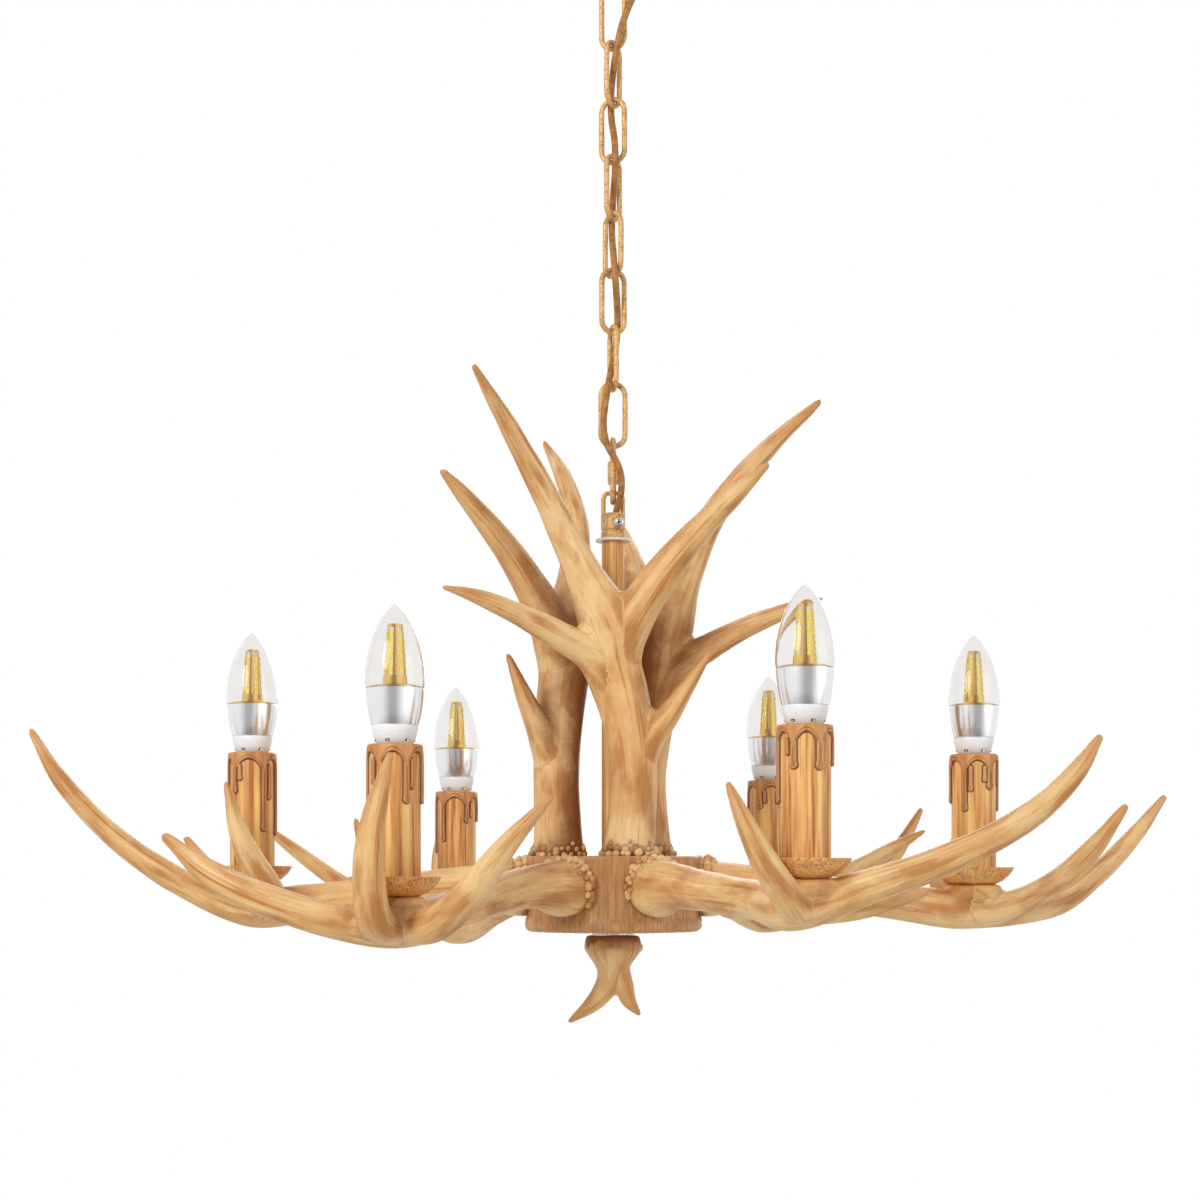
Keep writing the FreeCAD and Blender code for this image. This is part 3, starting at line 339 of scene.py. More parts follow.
class ChandelierLook(bpy.types.PropertyGroup):
    antler: PointerProperty(type=AntlerLook, name="Antlers", description="Look of the antlers")
    hub: PointerProperty(type=HubLook, name="Hub", description="Look of the hub")
    candle: PointerProperty(type=CandleLook, name="Candles", description="Look of the candle sleeves")
    bulb: PointerProperty(type=BulbLook, name="Bulbs", description="Look of the bulbs")
    chain: PointerProperty(type=ChainLook, name="Chain", description="Look of the chain and cord")
    stage: PointerProperty(type=StageLook, name="Stage", description="Floor, light and camera")


def look():
    return bpy.context.scene.chandelier_look


# ---------------------------------------------------------------- places
def from_lamp_plane(x, y, z):
    return Vector((x, y, z - LAMP_DROP)) * MM


def outward(turn):
    """The level direction of a lamp: 0 is the front, 90 the right."""
    angle = math.radians(turn)
    return Vector((math.sin(angle), -math.cos(angle), 0))


def lamp_place(index):
    turn, height = LAMPS[index]
    place = outward(turn) * LAMP_RING
    return from_lamp_plane(place.x, place.y, height)


# ---------------------------------------------------------------- pieces
def mesh_from(bm, name):
    mesh = bpy.data.meshes.new(name)
    bm.to_mesh(mesh)
    bm.free()
    return mesh


def add_piece(name, mesh, body, slot, finishes, *nodes, sharp=38):
    """Shows a mesh with its finishes, on its body, in place of the solids that it stands for."""
    piece = show(name, mesh)
    for finish in finishes:
        mesh.materials.append(finish_named(finish))
    mesh.shade_smooth()
    if sharp:
        mesh.set_sharp_from_angle(angle=math.radians(sharp))
    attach(piece, body)
    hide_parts(*nodes)


def show(name, data):
    piece = bpy.data.objects.new(name, data)
    bpy.context.scene.collection.objects.link(piece)
    return piece


def turn_profile(bm, profile, steps, place=(0, 0, 0), slot=0):
    """Adds a shape turned about an upright axis through (radius, height) corners in millimetres."""
    verts = [bm.verts.new((radius * MM, 0, height * MM)) for radius, height in profile]
    edges = [bm.edges.new(pair) for pair in zip(verts, verts[1:])]
    known = set(bm.verts) - set(verts)
    bmesh.ops.spin(
        bm, geom=verts + edges, cent=(0, 0, 0), axis=(0, 0, 1), dvec=(0, 0, 0), angle=2 * math.pi,
        steps=steps, use_merge=True, use_duplicate=False,
    )
    mine = [v for v in bm.verts if v not in known]
    bmesh.ops.remove_doubles(bm, verts=mine, dist=1e-6)
    mine = [v for v in bm.verts if v not in known]
    bmesh.ops.recalc_face_normals(bm, faces=list({face for v in mine for face in v.link_faces}))
    bmesh.ops.translate(bm, verts=mine, vec=Vector(place))
    paint_faces(mine, slot)


def soften(bm, width, verts=None, least=30):
    """Rounds the sharp edges, all of them or those between the verts."""
    chosen = set(verts or bm.verts)
    edges = [
        e for e in bm.edges
        if len(e.link_faces) == 2 and e.calc_face_angle() > math.radians(least) and chosen.issuperset(e.verts)
    ]
    bmesh.ops.bevel(bm, geom=edges, offset=width * MM, segments=2, profile=0.5, affect="EDGES", material=-1)


def turned(profile, steps, place=(0, 0, 0), round_by=0.0):
    """A mesh turned through the profile."""
    bm = bmesh.new()
    turn_profile(bm, profile, steps, place)
    if round_by:
        soften(bm, round_by)
    return mesh_from(bm, "turned")


def paint_faces(verts, slot):
    for face in {face for v in verts for face in v.link_faces}:
        face.material_index = slot


def add_ball(bm, place, radius):
    balls = bmesh.ops.create_icosphere(bm, subdivisions=2, radius=radius, matrix=Matrix.Translation(place))
    return balls["verts"]


def mesh_of(curve):
    """The mesh that a curve makes; the curve goes."""
    holder = show("line", curve)
    mesh = bpy.data.meshes.new_from_object(holder)
    bpy.data.objects.remove(holder)
    bpy.data.curves.remove(curve)
    return mesh


def along_lines(lines, cyclic=False, sides=6):
    """A mesh of round limbs or wires along lines of (x, y, z, radius) points, in metres."""
    curve = bpy.data.curves.new("line", "CURVE")
    curve.dimensions = "3D"
    curve.bevel_depth = 1
    curve.bevel_resolution = sides
    curve.use_fill_caps = not cyclic
    for line in lines:
        spline = curve.splines.new("POLY")
        spline.points.add(len(line) - 1)
        spline.use_cyclic_u = cyclic
        for point, row in zip(spline.points, line):
            point.co = (*row[:3], 1)
            point.radius = row[3]
    return mesh_of(curve)


def between(t, start, end, first, last):
    return ((end - t) * first + (t - start) * last) / (end - start)


def smooth_line(stations, step=2.6):
    """Points on an even curve through the stations, with radii, ending in a rounded tip."""
    rows = np.array(stations, float)
    rows = np.vstack([2 * rows[0] - rows[1], rows, 2 * rows[-1] - rows[-2]])
    gaps = np.linalg.norm(np.diff(rows[:, :3], axis=0), axis=1)
    knots = np.concatenate([[0], np.cumsum(np.sqrt(gaps))])
    line = []
    for i in range(1, len(rows) - 2):
        p0, p1, p2, p3 = rows[i - 1:i + 3]
        t0, t1, t2, t3 = knots[i - 1:i + 3]
        count = max(2, math.ceil(gaps[i] / step))
        for t in np.linspace(t1, t2, count, endpoint=False):
            a1, a2, a3 = between(t, t0, t1, p0, p1), between(t, t1, t2, p1, p2), between(t, t2, t3, p2, p3)
            b1, b2 = between(t, t0, t2, a1, a2), between(t, t1, t3, a2, a3)
            line.append(between(t, t1, t2, b1, b2))
    end = rows[-2]
    way = end - line[-1]
    way = way[:3] / np.linalg.norm(way[:3])
    for angle in (0, 25, 50, 70, 84):
        turn = math.radians(angle)
        line.append(np.array([*(end[:3] + way * end[3] * math.sin(turn)), end[3] * math.cos(turn)]))
    return np.array(line)


# ---------------------------------------------------------------- cast antlers
def line_frames(line):
    """Distances along a line, with a steady pair of directions across it."""
    places = line[:, :3]
    along = np.gradient(places, axis=0)
    along /= np.linalg.norm(along, axis=1)[:, None]
    side = np.cross(along[0], (0.31, 0.52, 0.79))
    sides = []
    for way in along:
        side = side - way * side.dot(way)
        side = side / np.linalg.norm(side)
        sides.append(side)
    distance = np.concatenate([[0], np.cumsum(np.linalg.norm(np.diff(places, axis=0), axis=1))])
    return distance, along, np.array(sides)


def where_on(line, points):
    """Each point's height off the line's skin, distance along it, its length, way round it, and radius."""
    distance, along, side = line_frames(line)
    gap = np.linalg.norm(points[:, None, :] - line[None, :, :3], axis=2) - line[None, :, 3] * 0.9
    near = gap.argmin(axis=1)
    ahead = ((points - line[near, :3]) * along[near]).sum(axis=1)
    after = np.clip(near + np.sign(ahead).astype(int), 0, len(line) - 1)
    share = np.clip(np.abs(ahead) / (np.abs(distance[after] - distance[near]) + 1e-9), 0, 1)[:, None]
    ways = (line[:, :3], along, side)
    centre, way, across = [rows[near] * (1 - share) + rows[after] * share for rows in ways]
    u = ((points - centre) * across).sum(axis=1)
    v = ((points - centre) * np.cross(way, across)).sum(axis=1)
    size = np.hypot(u, v) + 1e-9
    t = distance[near] + ahead
    return gap[np.arange(len(near)), near], t, distance[-1], u / size, v / size, line[near, 3]


def neighbours_mean(edges, values, rounds):
    """The values once each corner's has moved halfway to its neighbours' mean, several times."""
    size = len(values)
    one, other = edges.T
    count = np.maximum(np.bincount(edges.ravel(), minlength=size), 1)
    columns = []
    for column in values.T:
        for _ in range(rounds):
            total = np.bincount(one, column[other], size) + np.bincount(other, column[one], size)
            column = 0.5 * column + 0.5 * total / count
        columns.append(column)
    return np.stack(columns, axis=1)


def read(rows, field, width=3, kind=float):
    values = np.empty(len(rows) * width, kind)
    rows.foreach_get(field, values)
    return values.reshape(-1, width)


def read_skin(mesh):
    """A mesh's points, normals and edges."""
    return read(mesh.vertices, "co"), read(mesh.vertex_normals, "vector"), read(mesh.edges, "vertices", 2, int)


def move_skin(mesh, points):
    mesh.vertices.foreach_set("co", points.ravel())
    mesh.update()


def write_field(mesh, name, values, kind="FLOAT"):
    layer = mesh.attributes.new(name, kind, "POINT")
    layer.data.foreach_set("value" if kind == "FLOAT" else "vector", np.asarray(values, float).ravel())


def stretched(points, seed):
    """A smooth random value from -1 to 1 for each point."""
    shift = Vector((seed * 7.3, seed * 3.1, seed * 5.7))
    return np.array([noise.noise(Vector(p) + shift) for p in points])


def join_skin(bm, voxel, rounds):
    """One closed skin over everything in bm."""
    rough = show("rough", mesh_from(bm, "rough"))
    remesh = rough.modifiers.new("skin", "REMESH")
    remesh.mode = "VOXEL"
    remesh.voxel_size = voxel
    smooth = rough.modifiers.new("smooth", "SMOOTH")
    smooth.factor = 0.5
    smooth.iterations = rounds
    bpy.context.view_layer.update()
    ready = rough.evaluated_get(bpy.context.evaluated_depsgraph_get())
    mesh = bpy.data.meshes.new_from_object(ready)
    bpy.data.objects.remove(rough)
    return mesh


def pearl_ring(rng, centre, along, bead, radius, size, count, offset, low=0, high=360):
    """Places and sizes of a row of pearls round an antler's foot; angles count from straight up or away."""
    up = Vector((0, 0, 1)) if abs(along.z) < 0.7 else Vector((0, 1, 0))
    up = (up - along * up.dot(along)).normalized()
    across = along.cross(up)
    low, high = math.radians(low), math.radians(high)
    spots = []
    for k in range(count):
        angle = low + (high - low) * (k + rng.uniform(-0.3, 0.3)) / count
        reach = radius * MM + rng.uniform(-0.6, 0.6) * MM
        spot = centre + up * (reach * math.cos(angle)) + across * (reach * math.sin(angle))
        spot += along * (offset * MM + rng.uniform(-0.7, 0.7) * MM)
        spots.append((*spot, bead * size * rng.uniform(0.62, 1.18)))
    return spots


def hollows(points, normals, edges, rounds):
    """How far each point lies below the mean of those round it, in millimetres."""
    return ((neighbours_mean(edges, points, rounds) - points) * normals).sum(axis=1) / MM


def surroundings():
    """A tree of every limb's plain tube with the hub and the centre tube, to measure recesses against for the
    painted shade.
    """
    if "tree" not in SURROUNDINGS:
        lines = []
        for (turn, lamp_height), (onward, *tines) in zip(LAMPS, ARM_LIMBS):
            beam = arm_beam(turn, lamp_height)
            lines.append(in_metres(beam + list(onward)))
            lines += [in_metres([beam[-1]] + list(tine)) for tine in tines]
        for turn in UPRIGHT_TURNS:
            lines += [in_metres(limb, HUB_TOP - LAMP_DROP, turn) for limb in UPRIGHT_LIMBS]
        bm = bmesh.new()
        bm.from_mesh(along_lines([smooth_line(np.array(line) / MM, 7) * MM for line in lines], sides=3))
        drum = ((0, HUB_FOOT), (61, HUB_FOOT), (61, HUB_TOP), (8, HUB_TOP), (8, 230), (0, 230))
        turn_profile(bm, drum, 32, (0, 0, -LAMP_DROP * MM))
        SURROUNDINGS["tree"] = BVHTree.FromBMesh(bm)
        bm.free()
    return SURROUNDINGS["tree"]


def occlusion_for_painted_shade(points, normals, samples=2600, rays=22, reach=0.11):
    """How shut in each point is, from 0 in the open to 1, from rays sent out at some of the points; the
    antlers' finish paints shade by it.
    """
    tree = surroundings()
    golden = math.pi * (3 - math.sqrt(5))
    sphere = []
    for k in range(rays):
        high = 1 - (2 * k + 1) / rays
        level = math.sqrt(1 - high * high)
        sphere.append(Vector((level * math.cos(golden * k), level * math.sin(golden * k), high)))
    chosen = range(0, len(points), max(1, len(points) // samples))
    places = KDTree(len(chosen))
    shut = np.zeros(len(points))
    for i in chosen:
        normal = Vector(normals[i])
        start = Vector(points[i]) + normal * 2.4 * MM
        total = 0.0
        for way in sphere:
            distance = tree.ray_cast(start, (normal + way * 0.98).normalized(), reach)[3]
            if distance is not None:
                total += 1 - 0.5 * distance / reach
        shut[i] = total / rays
        places.insert(points[i], i)
    places.balance()
    return np.array([np.mean([shut[i] for _, i, _ in places.find_n(p, 4)]) for p in points])


def fill_crotches(mesh):
    """Rounds the sharp valleys where limbs meet, and leaves the rest of the skin alone."""
    points, normals, edges = read_skin(mesh)
    even = neighbours_mean(edges, points, CROTCH_ROUNDS)
    valley = ((even - points) * normals).sum(axis=1) / MM
    share = neighbours_mean(edges, np.clip(valley / CROTCH_DEPTH, 0, 1)[:, None], 10)
    move_skin(mesh, points + (even - points) * np.clip(share * 1.5, 0, 1))


def age_antler(mesh, lines, pearls, seed, furrow, shade):
    """Works low furrows along the limbs of a cast skin, and notes grain, stain, tips and the painted shade of
    furrows, crotches and recesses for the finish.
    """
    fill_crotches(mesh)
    points, normals, edges = read_skin(mesh)
    stain_and_shade = hollows(points, normals, edges, 24)
    fields = [where_on(line, points) for line in lines]
    gaps = np.array([f[0] for f in fields])
    weight = np.exp(-(gaps - gaps.min(axis=0)) / (2.2 * MM))
    weight /= weight.sum(axis=0)
    push, tip = np.zeros(len(points)), np.zeros(len(points))
    for i, (_, t, whole, c, s, thick) in enumerate(fields):
        around = np.stack([c * 1.5, s * 1.5, t / 0.09], axis=1)
        broad = stretched(around, seed + i)
        ridges = stretched(around * 2.3, seed + i + 20)
        strength = 0.3 + 0.7 * np.clip((whole - t) / (0.4 * whole), 0, 1)
        broad *= np.clip((thick - 4 * MM) / (9 * MM), 0, 1)
        ridges *= np.clip((thick - 10 * MM) / (7 * MM), 0, 1)
        push += weight[i] * strength * (broad + 0.55 * ridges) * furrow
        tip += weight[i] * np.clip(1 - (whole - t) / 0.032, 0, 1)
    lumps = stretched(points / 0.024, seed + 50)
    points = points + normals * (push + lumps * 0.8 * furrow)[:, None]
    best, pick = gaps.argmin(axis=0), np.arange(len(points))
    round_c, round_s, run = [np.array([f[k] for f in fields])[best, pick] for k in (3, 4, 1)]
    stain = np.zeros(len(points))
    # Darker within 1.5 mm of the pearls: stain, with the shade of the gaps painted in, as much as the shade
    # setting asks.
    if len(pearls):
        spots = np.array(pearls)
        apart = np.linalg.norm(points[:, None, :] - spots[None, :, :3], axis=2) - spots[None, :, 3]
        stain = np.clip(1 - apart.min(axis=1) / (1.5 * MM), 0, 1) * shade
    move_skin(mesh, points)
    write_field(mesh, "grain", np.stack([round_c, round_s, run / 0.02], axis=1), "FLOAT_VECTOR")
    write_field(mesh, "stain", stain)
    write_field(mesh, "tip", np.clip(tip, 0, 1))
    # Stain with painted shade in furrows and crotches, where the skin lies below its surroundings.
    write_field(mesh, "stain_and_shade", np.clip(stain_and_shade / 1.1, 0, 1))
    # Painted shade mixed with stain: the finish is darker where other limbs and the hub shut a point in.
    write_field(mesh, "deep", occlusion_for_painted_shade(points, normals))


def cast(node, limbs, pearls, seed, extra=None, voxel=None, shade=0.5):
    """Casts an antler from limbs of stations in metres, with its rows of pearls."""
    settings = look().antler
    lines = [smooth_line(np.array(limb) / MM) * MM for limb in limbs]
    bm = bmesh.new()
    bm.from_mesh(along_lines(lines, sides=8))
    if extra:
        extra(bm)
    mesh = join_skin(bm, voxel or settings.voxel, SKIN_SMOOTHING)
    rng = random.Random(seed)
    spots = [spot for pearl in pearls for spot in pearl_ring(rng, *pearl)]
    age_antler(mesh, lines, spots, seed, settings.furrow_depth, shade)
    bm = bmesh.new()
    bm.from_mesh(mesh)
    stain, grain = bm.verts.layers.float["stain"], bm.verts.layers.float_vector["grain"]
    for *place, radius in spots:
        bead = add_ball(bm, place, radius)
        dirt, patch = rng.uniform(-0.3, 1) * (shade - 0.3), rng.uniform(0, 40)
        for v in bead:
            v[stain] = max(0, dirt)
            v[grain] = (patch, patch * 0.7, v.co.z / 0.02)
    bpy.data.meshes.remove(mesh)
    add_piece(node + "_cast", mesh_from(bm, node), "fixture", "antler_cast", ["antler_cast"], node, sharp=0)


def arm_beam(turn, lamp_height):
    """Stations of an arm's beam in millimetres, from inside the hub's edge to under its lamp."""
    under_lamp = lamp_height - 30
    rows = (
        (52, -11, 18), (62, -11, 20), (72, -11, 19.4), (86, -10, 16.6), (100, -10, 14.8), (124, -12, 13.8),
        (158, -8 + 0.3 * under_lamp, 12.6), (196, 0.6 * under_lamp - 4, 12.8),
        (LAMP_RING - 8, under_lamp, 13.4),
    )
    return [(*(outward(turn) * distance).xy, height, radius) for distance, height, radius in rows]


def in_metres(stations, base=-LAMP_DROP, turn=0.0):
    spin = Matrix.Rotation(math.radians(turn), 3, "Z")
    rows = []
    for x, y, z, radius in stations:
        place = spin @ Vector((x, y, z + base)) * MM
        rows.append((*place, radius * MM))
    return rows


# ---------------------------------------------------------------- finishes
def add_node(tree, kind, inputs=None, **settings):
    node = tree.nodes.new(kind)
    for key, value in settings.items():
        setattr(node, key, value)
    for key, value in (inputs or {}).items():
        if isinstance(value, bpy.types.NodeSocket):
            tree.links.new(value, node.inputs[key])
        else:
            node.inputs[key].default_value = value
    return node


def linear(rgb):
    """A written colour as light."""
    return tuple(c / 12.92 if c <= 0.04045 else ((c + 0.055) / 1.055) ** 2.4 for c in rgb) + (1.0,)


def tinted(rgb, factor):
    return tuple(min(1, c * factor) for c in rgb)


def blank_finish(name, rgb, roughness, metallic=0.0, **sockets):
    material = bpy.data.materials.new(name)
    material.use_nodes = True
    tree = material.node_tree
    shader = tree.nodes["Principled BSDF"]
    shader.inputs["Base Color"].default_value = linear(rgb)
    shader.inputs["Roughness"].default_value = roughness
    shader.inputs["Metallic"].default_value = metallic
    for key, value in sockets.items():
        shader.inputs[key.replace("_", " ")].default_value = value
    return material, tree, shader


def mapped(tree, source, scale, turn=(0, 0, 0)):
    return add_node(tree, "ShaderNodeMapping", {"Vector": source, "Scale": scale, "Rotation": turn}).outputs[0]


def object_place(tree):
    return add_node(tree, "ShaderNodeTexCoord").outputs["Object"]


def attribute(tree, name, output="Fac"):
    return add_node(tree, "ShaderNodeAttribute", attribute_name=name).outputs[output]


def cloud(tree, vector, scale, detail=5.0, roughness=0.55):
    inputs = {"Vector": vector, "Scale": scale, "Detail": detail, "Roughness": roughness}
    return add_node(tree, "ShaderNodeTexNoise", inputs).outputs["Fac"]


def add_up(tree, one, other):
    return add_node(tree, "ShaderNodeMath", {0: one, 1: other}, operation="ADD").outputs[0]


def ramp(tree, factor, *stops):
    node = add_node(tree, "ShaderNodeValToRGB", {"Fac": factor})
    bar = node.color_ramp
    while len(bar.elements) < len(stops):
        bar.elements.new(0.5)
    for element, (place, rgb) in zip(bar.elements, stops):
        element.position = place
        element.color = linear(rgb)
    return node.outputs["Color"]


def remap(tree, value, low, high, to_low=0.0, to_high=1.0):
    inputs = {"Value": value, "From Min": low, "From Max": high, "To Min": to_low, "To Max": to_high}
    return add_node(tree, "ShaderNodeMapRange", inputs).outputs[0]


def layered(tree, base, *layers):
    """Lays each layer's colour over the base, up to its share, as its value goes from low to high."""
    for value, low, high, share, rgb in layers:
        inputs = {0: remap(tree, value, low, high, 0, share), 6: base, 7: linear(rgb)}
        base = add_node(tree, "ShaderNodeMix", inputs, data_type="RGBA", clamp_factor=True).outputs[2]
    return base


def linked(parts, base, rough=None, bump=None):
    """The material with its colour, its roughness as remap takes it, and its bump's height and sizes."""
    material, tree, shader = parts
    if base is not None:
        tree.links.new(base, shader.inputs["Base Color"])
    if rough is not None:
        tree.links.new(remap(tree, *rough), shader.inputs["Roughness"])
    if bump is not None:
        inputs = dict(zip(("Height", "Strength", "Distance"), bump))
        tree.links.new(add_node(tree, "ShaderNodeBump", inputs).outputs[0], shader.inputs["Normal"])
    return material


def antler_finish(name):
    s = look().antler
    parts = blank_finish(name, s.tan, 0.4, Specular_IOR_Level=0.3)
    tree = parts[1]
    grain = attribute(tree, "grain", "Vector")
    streaks = cloud(tree, mapped(tree, grain, (1.6, 1.6, 0.13)), 1.5, 9, 0.6)
    patches = cloud(tree, mapped(tree, grain, (0.8, 0.8, 0.42)), 1.1, 3, 0.5)
    fine = cloud(tree, mapped(tree, grain, (6, 6, 0.20)), 3.2, 6, 0.62)
    lines = cloud(tree, mapped(tree, grain, (3.2, 3.2, 0.12)), 3.0, 7, 0.6)
    base = layered(
        tree, ramp(tree, streaks, (0.36, s.streak), (0.46, s.tan), (0.56, s.tan), (0.66, s.pale)),
        (cloud(tree, object_place(tree), 16, 4), 0.50, 0.62, 0.7, s.pale),
        (patches, 0.50, 0.34, 0.85, s.streak), (patches, 0.58, 0.70, 0.7, s.pale),
        (fine, 0.54, 0.70, 0.4, s.streak), (lines, 0.60, 0.72, 0.4, s.stain_and_shade),
        # Painted shade mixed with stain: darker where other limbs and the hub shut the skin in.
        (attribute(tree, "deep"), 0.16, 0.5, 0.94, tuple(0.5 * (a + b) for a, b in zip(s.stain_and_shade, s.streak))),
        # Tips take their own colour; round the pearls and in furrows and crotches the colour is stain with
        # painted shade.
        (attribute(tree, "tip"), 0, 1, 0.65, s.tip), (attribute(tree, "stain"), 0, 1, 0.8, s.stain_and_shade),
        (attribute(tree, "stain_and_shade"), 0.1, 0.9, 0.8, s.stain_and_shade),
    )
    height = add_up(tree, remap(tree, lines, 0.56, 0.66, 1, 0), fine)
    return linked(parts, base, (fine, 0.3, 0.7, 0.32, 0.5), (height, 0.35, 0.0004))


def wood_finish(name, wood, grain_colour, outline=None, scale=1.0, hatch=False, wax=None):
    """Painted wood grain that runs upright, or in short slanting strokes."""
    parts = blank_finish(name, wood, 0.36)
    tree = parts[1]
    place = object_place(tree)
    if hatch:
        strokes = cloud(tree, mapped(tree, place, (1100, 1100, 300), (0.6, 0.5, 0)), 1.0, 3)
    else:
        strokes = cloud(tree, mapped(tree, place, (260 * scale, 260 * scale, 11)), 1.0, 6, 0.62)
    broad = cloud(tree, mapped(tree, place, (60, 60, 14)), 1.0, 3)
    bands = cloud(tree, mapped(tree, place, (120 * scale, 120 * scale, 5)), 1.0, 3)
    shown = 0.5 if scale == 1 else 0.25
    layers = [(bands, 0.52, 0.62, shown, grain_colour), (broad, 0.5, 0.7, 0.4, grain_colour)]
    if wax is not None:
        layers.append((attribute(tree, "wax"), 0, 1, 0.66, wax))
    if outline is not None:
        layers.append((attribute(tree, "edge"), 0.12, 0.7, 0.95, outline))
    base = ramp(tree, strokes, (0.36, grain_colour), (0.50, wood), (0.66, tinted(wood, 1.16)))
    return linked(parts, layered(tree, base, *layers), (strokes, 0.3, 0.7, 0.5, 0.34), (strokes, 0.3, 0.0004))


def speckled_finish(name):
    s = look().chain
    parts = blank_finish(name, s.gold, 0.48, 0.15)
    tree = parts[1]
    place = object_place(tree)
    specks = cloud(tree, place, 620, 3, 0.7)
    base = layered(
        tree, ramp(tree, specks, (0.28, s.speck), (0.48, s.gold), (0.72, tinted(s.gold, 1.1))),
        (cloud(tree, place, 130, 4), 0.5, 0.72, 0.55, s.speck),
    )
    return linked(parts, base, (specks, 0.35, 0.65, 0.6, 0.4), (specks, 0.5, 0.0003))


def cord_finish(name):
    cover = look().chain.cord_cover
    parts = blank_finish(name, cover, 0.5)
    wear = cloud(parts[1], object_place(parts[1]), 240, 4)
    base = ramp(parts[1], wear, (0.35, tinted(cover, 0.72)), (0.62, cover))
    return linked(parts, base, bump=(wear, 0.25, 0.0002))


def metal_finish(name, rgb, roughness):
    """Brushed metal."""
    parts = blank_finish(name, rgb, roughness, 1.0)
    tree = parts[1]
    marks = cloud(tree, mapped(tree, object_place(tree), (900, 900, 40)), 1.0, 4)
    base = ramp(tree, marks, (0.35, tinted(rgb, 0.84)), (0.6, rgb))
    return linked(parts, base, (marks, 0.3, 0.7, roughness * 0.8, roughness * 1.25), (marks, 0.12, 0.0001))


def reflection_banded_metal(name, rgb, reflected_dark, roughness):
    """Turned metal with painted reflections: soft upright bands of light and shade round it, over faint
    brushing.
    """
    parts = blank_finish(name, rgb, roughness, 1.0)
    tree = parts[1]
    fine = cloud(tree, mapped(tree, attribute(tree, "turn", "Vector"), (30, 30, 1)), 1.0, 2)
    brushing_and_reflection = add_up(tree, remap(tree, fine, 0, 1, -0.1, 0.1), attribute(tree, "reflection_band"))
    base = ramp(tree, brushing_and_reflection, (0.05, reflected_dark), (0.5, rgb), (0.95, tinted(rgb, 1.12)))
    return linked(parts, base, (fine, 0.3, 0.7, roughness * 0.8, roughness * 1.2), (fine, 0.1, 0.0001))


def plain_finish(name, rgb, roughness):
    """Moulded plastic with a faint pebble."""
    parts = blank_finish(name, rgb, roughness)
    pebble = cloud(parts[1], object_place(parts[1]), 900, 3)
    base = ramp(parts[1], pebble, (0.3, tinted(rgb, 0.95)), (0.6, rgb))
    return linked(parts, base, bump=(pebble, 0.1, 0.0001))


def glass_finish(name):
    parts = blank_finish(name, (0.965, 0.96, 0.955), 0.02, Transmission_Weight=1.0, IOR=1.36)
    return linked(parts, None, bump=(cloud(parts[1], object_place(parts[1]), 60, 2), 0.03, 0.0004))


def glowing_chip_finish(name):
    rgb = look().bulb.phosphor
    # Painted glow: the chips give off a little light of their own, though the bulbs light nothing.
    parts = blank_finish(name, rgb, 0.4, Emission_Color=linear(rgb), Emission_Strength=0.35)
    pebble = cloud(parts[1], object_place(parts[1]), 2500, 2)
    return linked(parts, ramp(parts[1], pebble, (0.35, tinted(rgb, 0.86)), (0.6, rgb)))


def floor_finish(name):
    parts = blank_finish(name, (0.95, 0.95, 0.94), 0.7)
    shade = cloud(parts[1], object_place(parts[1]), 2, 2)
    return linked(parts, ramp(parts[1], shade, (0.3, (0.94, 0.94, 0.93)), (0.7, (0.96, 0.96, 0.95))))


def finish_named(name):
    """The material of that name, built once."""
    if name not in FINISHES:
        hub, candle, bulb = look().hub, look().candle, look().bulb
        hub_wood = (wood_finish, hub.wood, hub.grain, tinted(hub.grain, 0.8), 2.4)
        build, *settings = {
            "antler_cast": (antler_finish,),
            "hub_wood": hub_wood,
            "cover_wood": hub_wood,
            "candle_wood": (wood_finish, candle.wood, candle.grain, candle.outline, 1.0, False, candle.wax),
            "pan_wood": (wood_finish, tinted(candle.wood, 0.96), candle.grain, None, 1.0, True),
            "tube_wood": (wood_finish, candle.wood, candle.grain, None, 1.6),
            "speckled_paint": (speckled_finish,),
            "cord_cover": (cord_finish,),
            "steel": (metal_finish, (0.80, 0.80, 0.80), 0.26),
            # The second colour is the shaded side of each metal's painted reflection bands.
            "cup_metal": (reflection_banded_metal, bulb.cup, (0.68, 0.67, 0.66), 0.2),
            "gold_metal": (reflection_banded_metal, bulb.gold, (0.64, 0.47, 0.20), 0.24),
            "white_plastic": (plain_finish, (0.97, 0.97, 0.97), 0.35),
            "dark_slot": (plain_finish, (0.10, 0.08, 0.06), 0.5),
            "bush_plastic": (plain_finish, (0.55, 0.38, 0.18), 0.45),
            "clear_glass": (glass_finish,),
            "chip": (glowing_chip_finish,),
            "floor_white": (floor_finish,),
        }[name]
        FINISHES[name] = build(name, *settings)
    return FINISHES[name]


# ---------------------------------------------------------------- operators
class PieceOperator:
    bl_options = {"REGISTER", "UNDO"}

    @classmethod
    def poll(cls, context):
        return context.scene is not None


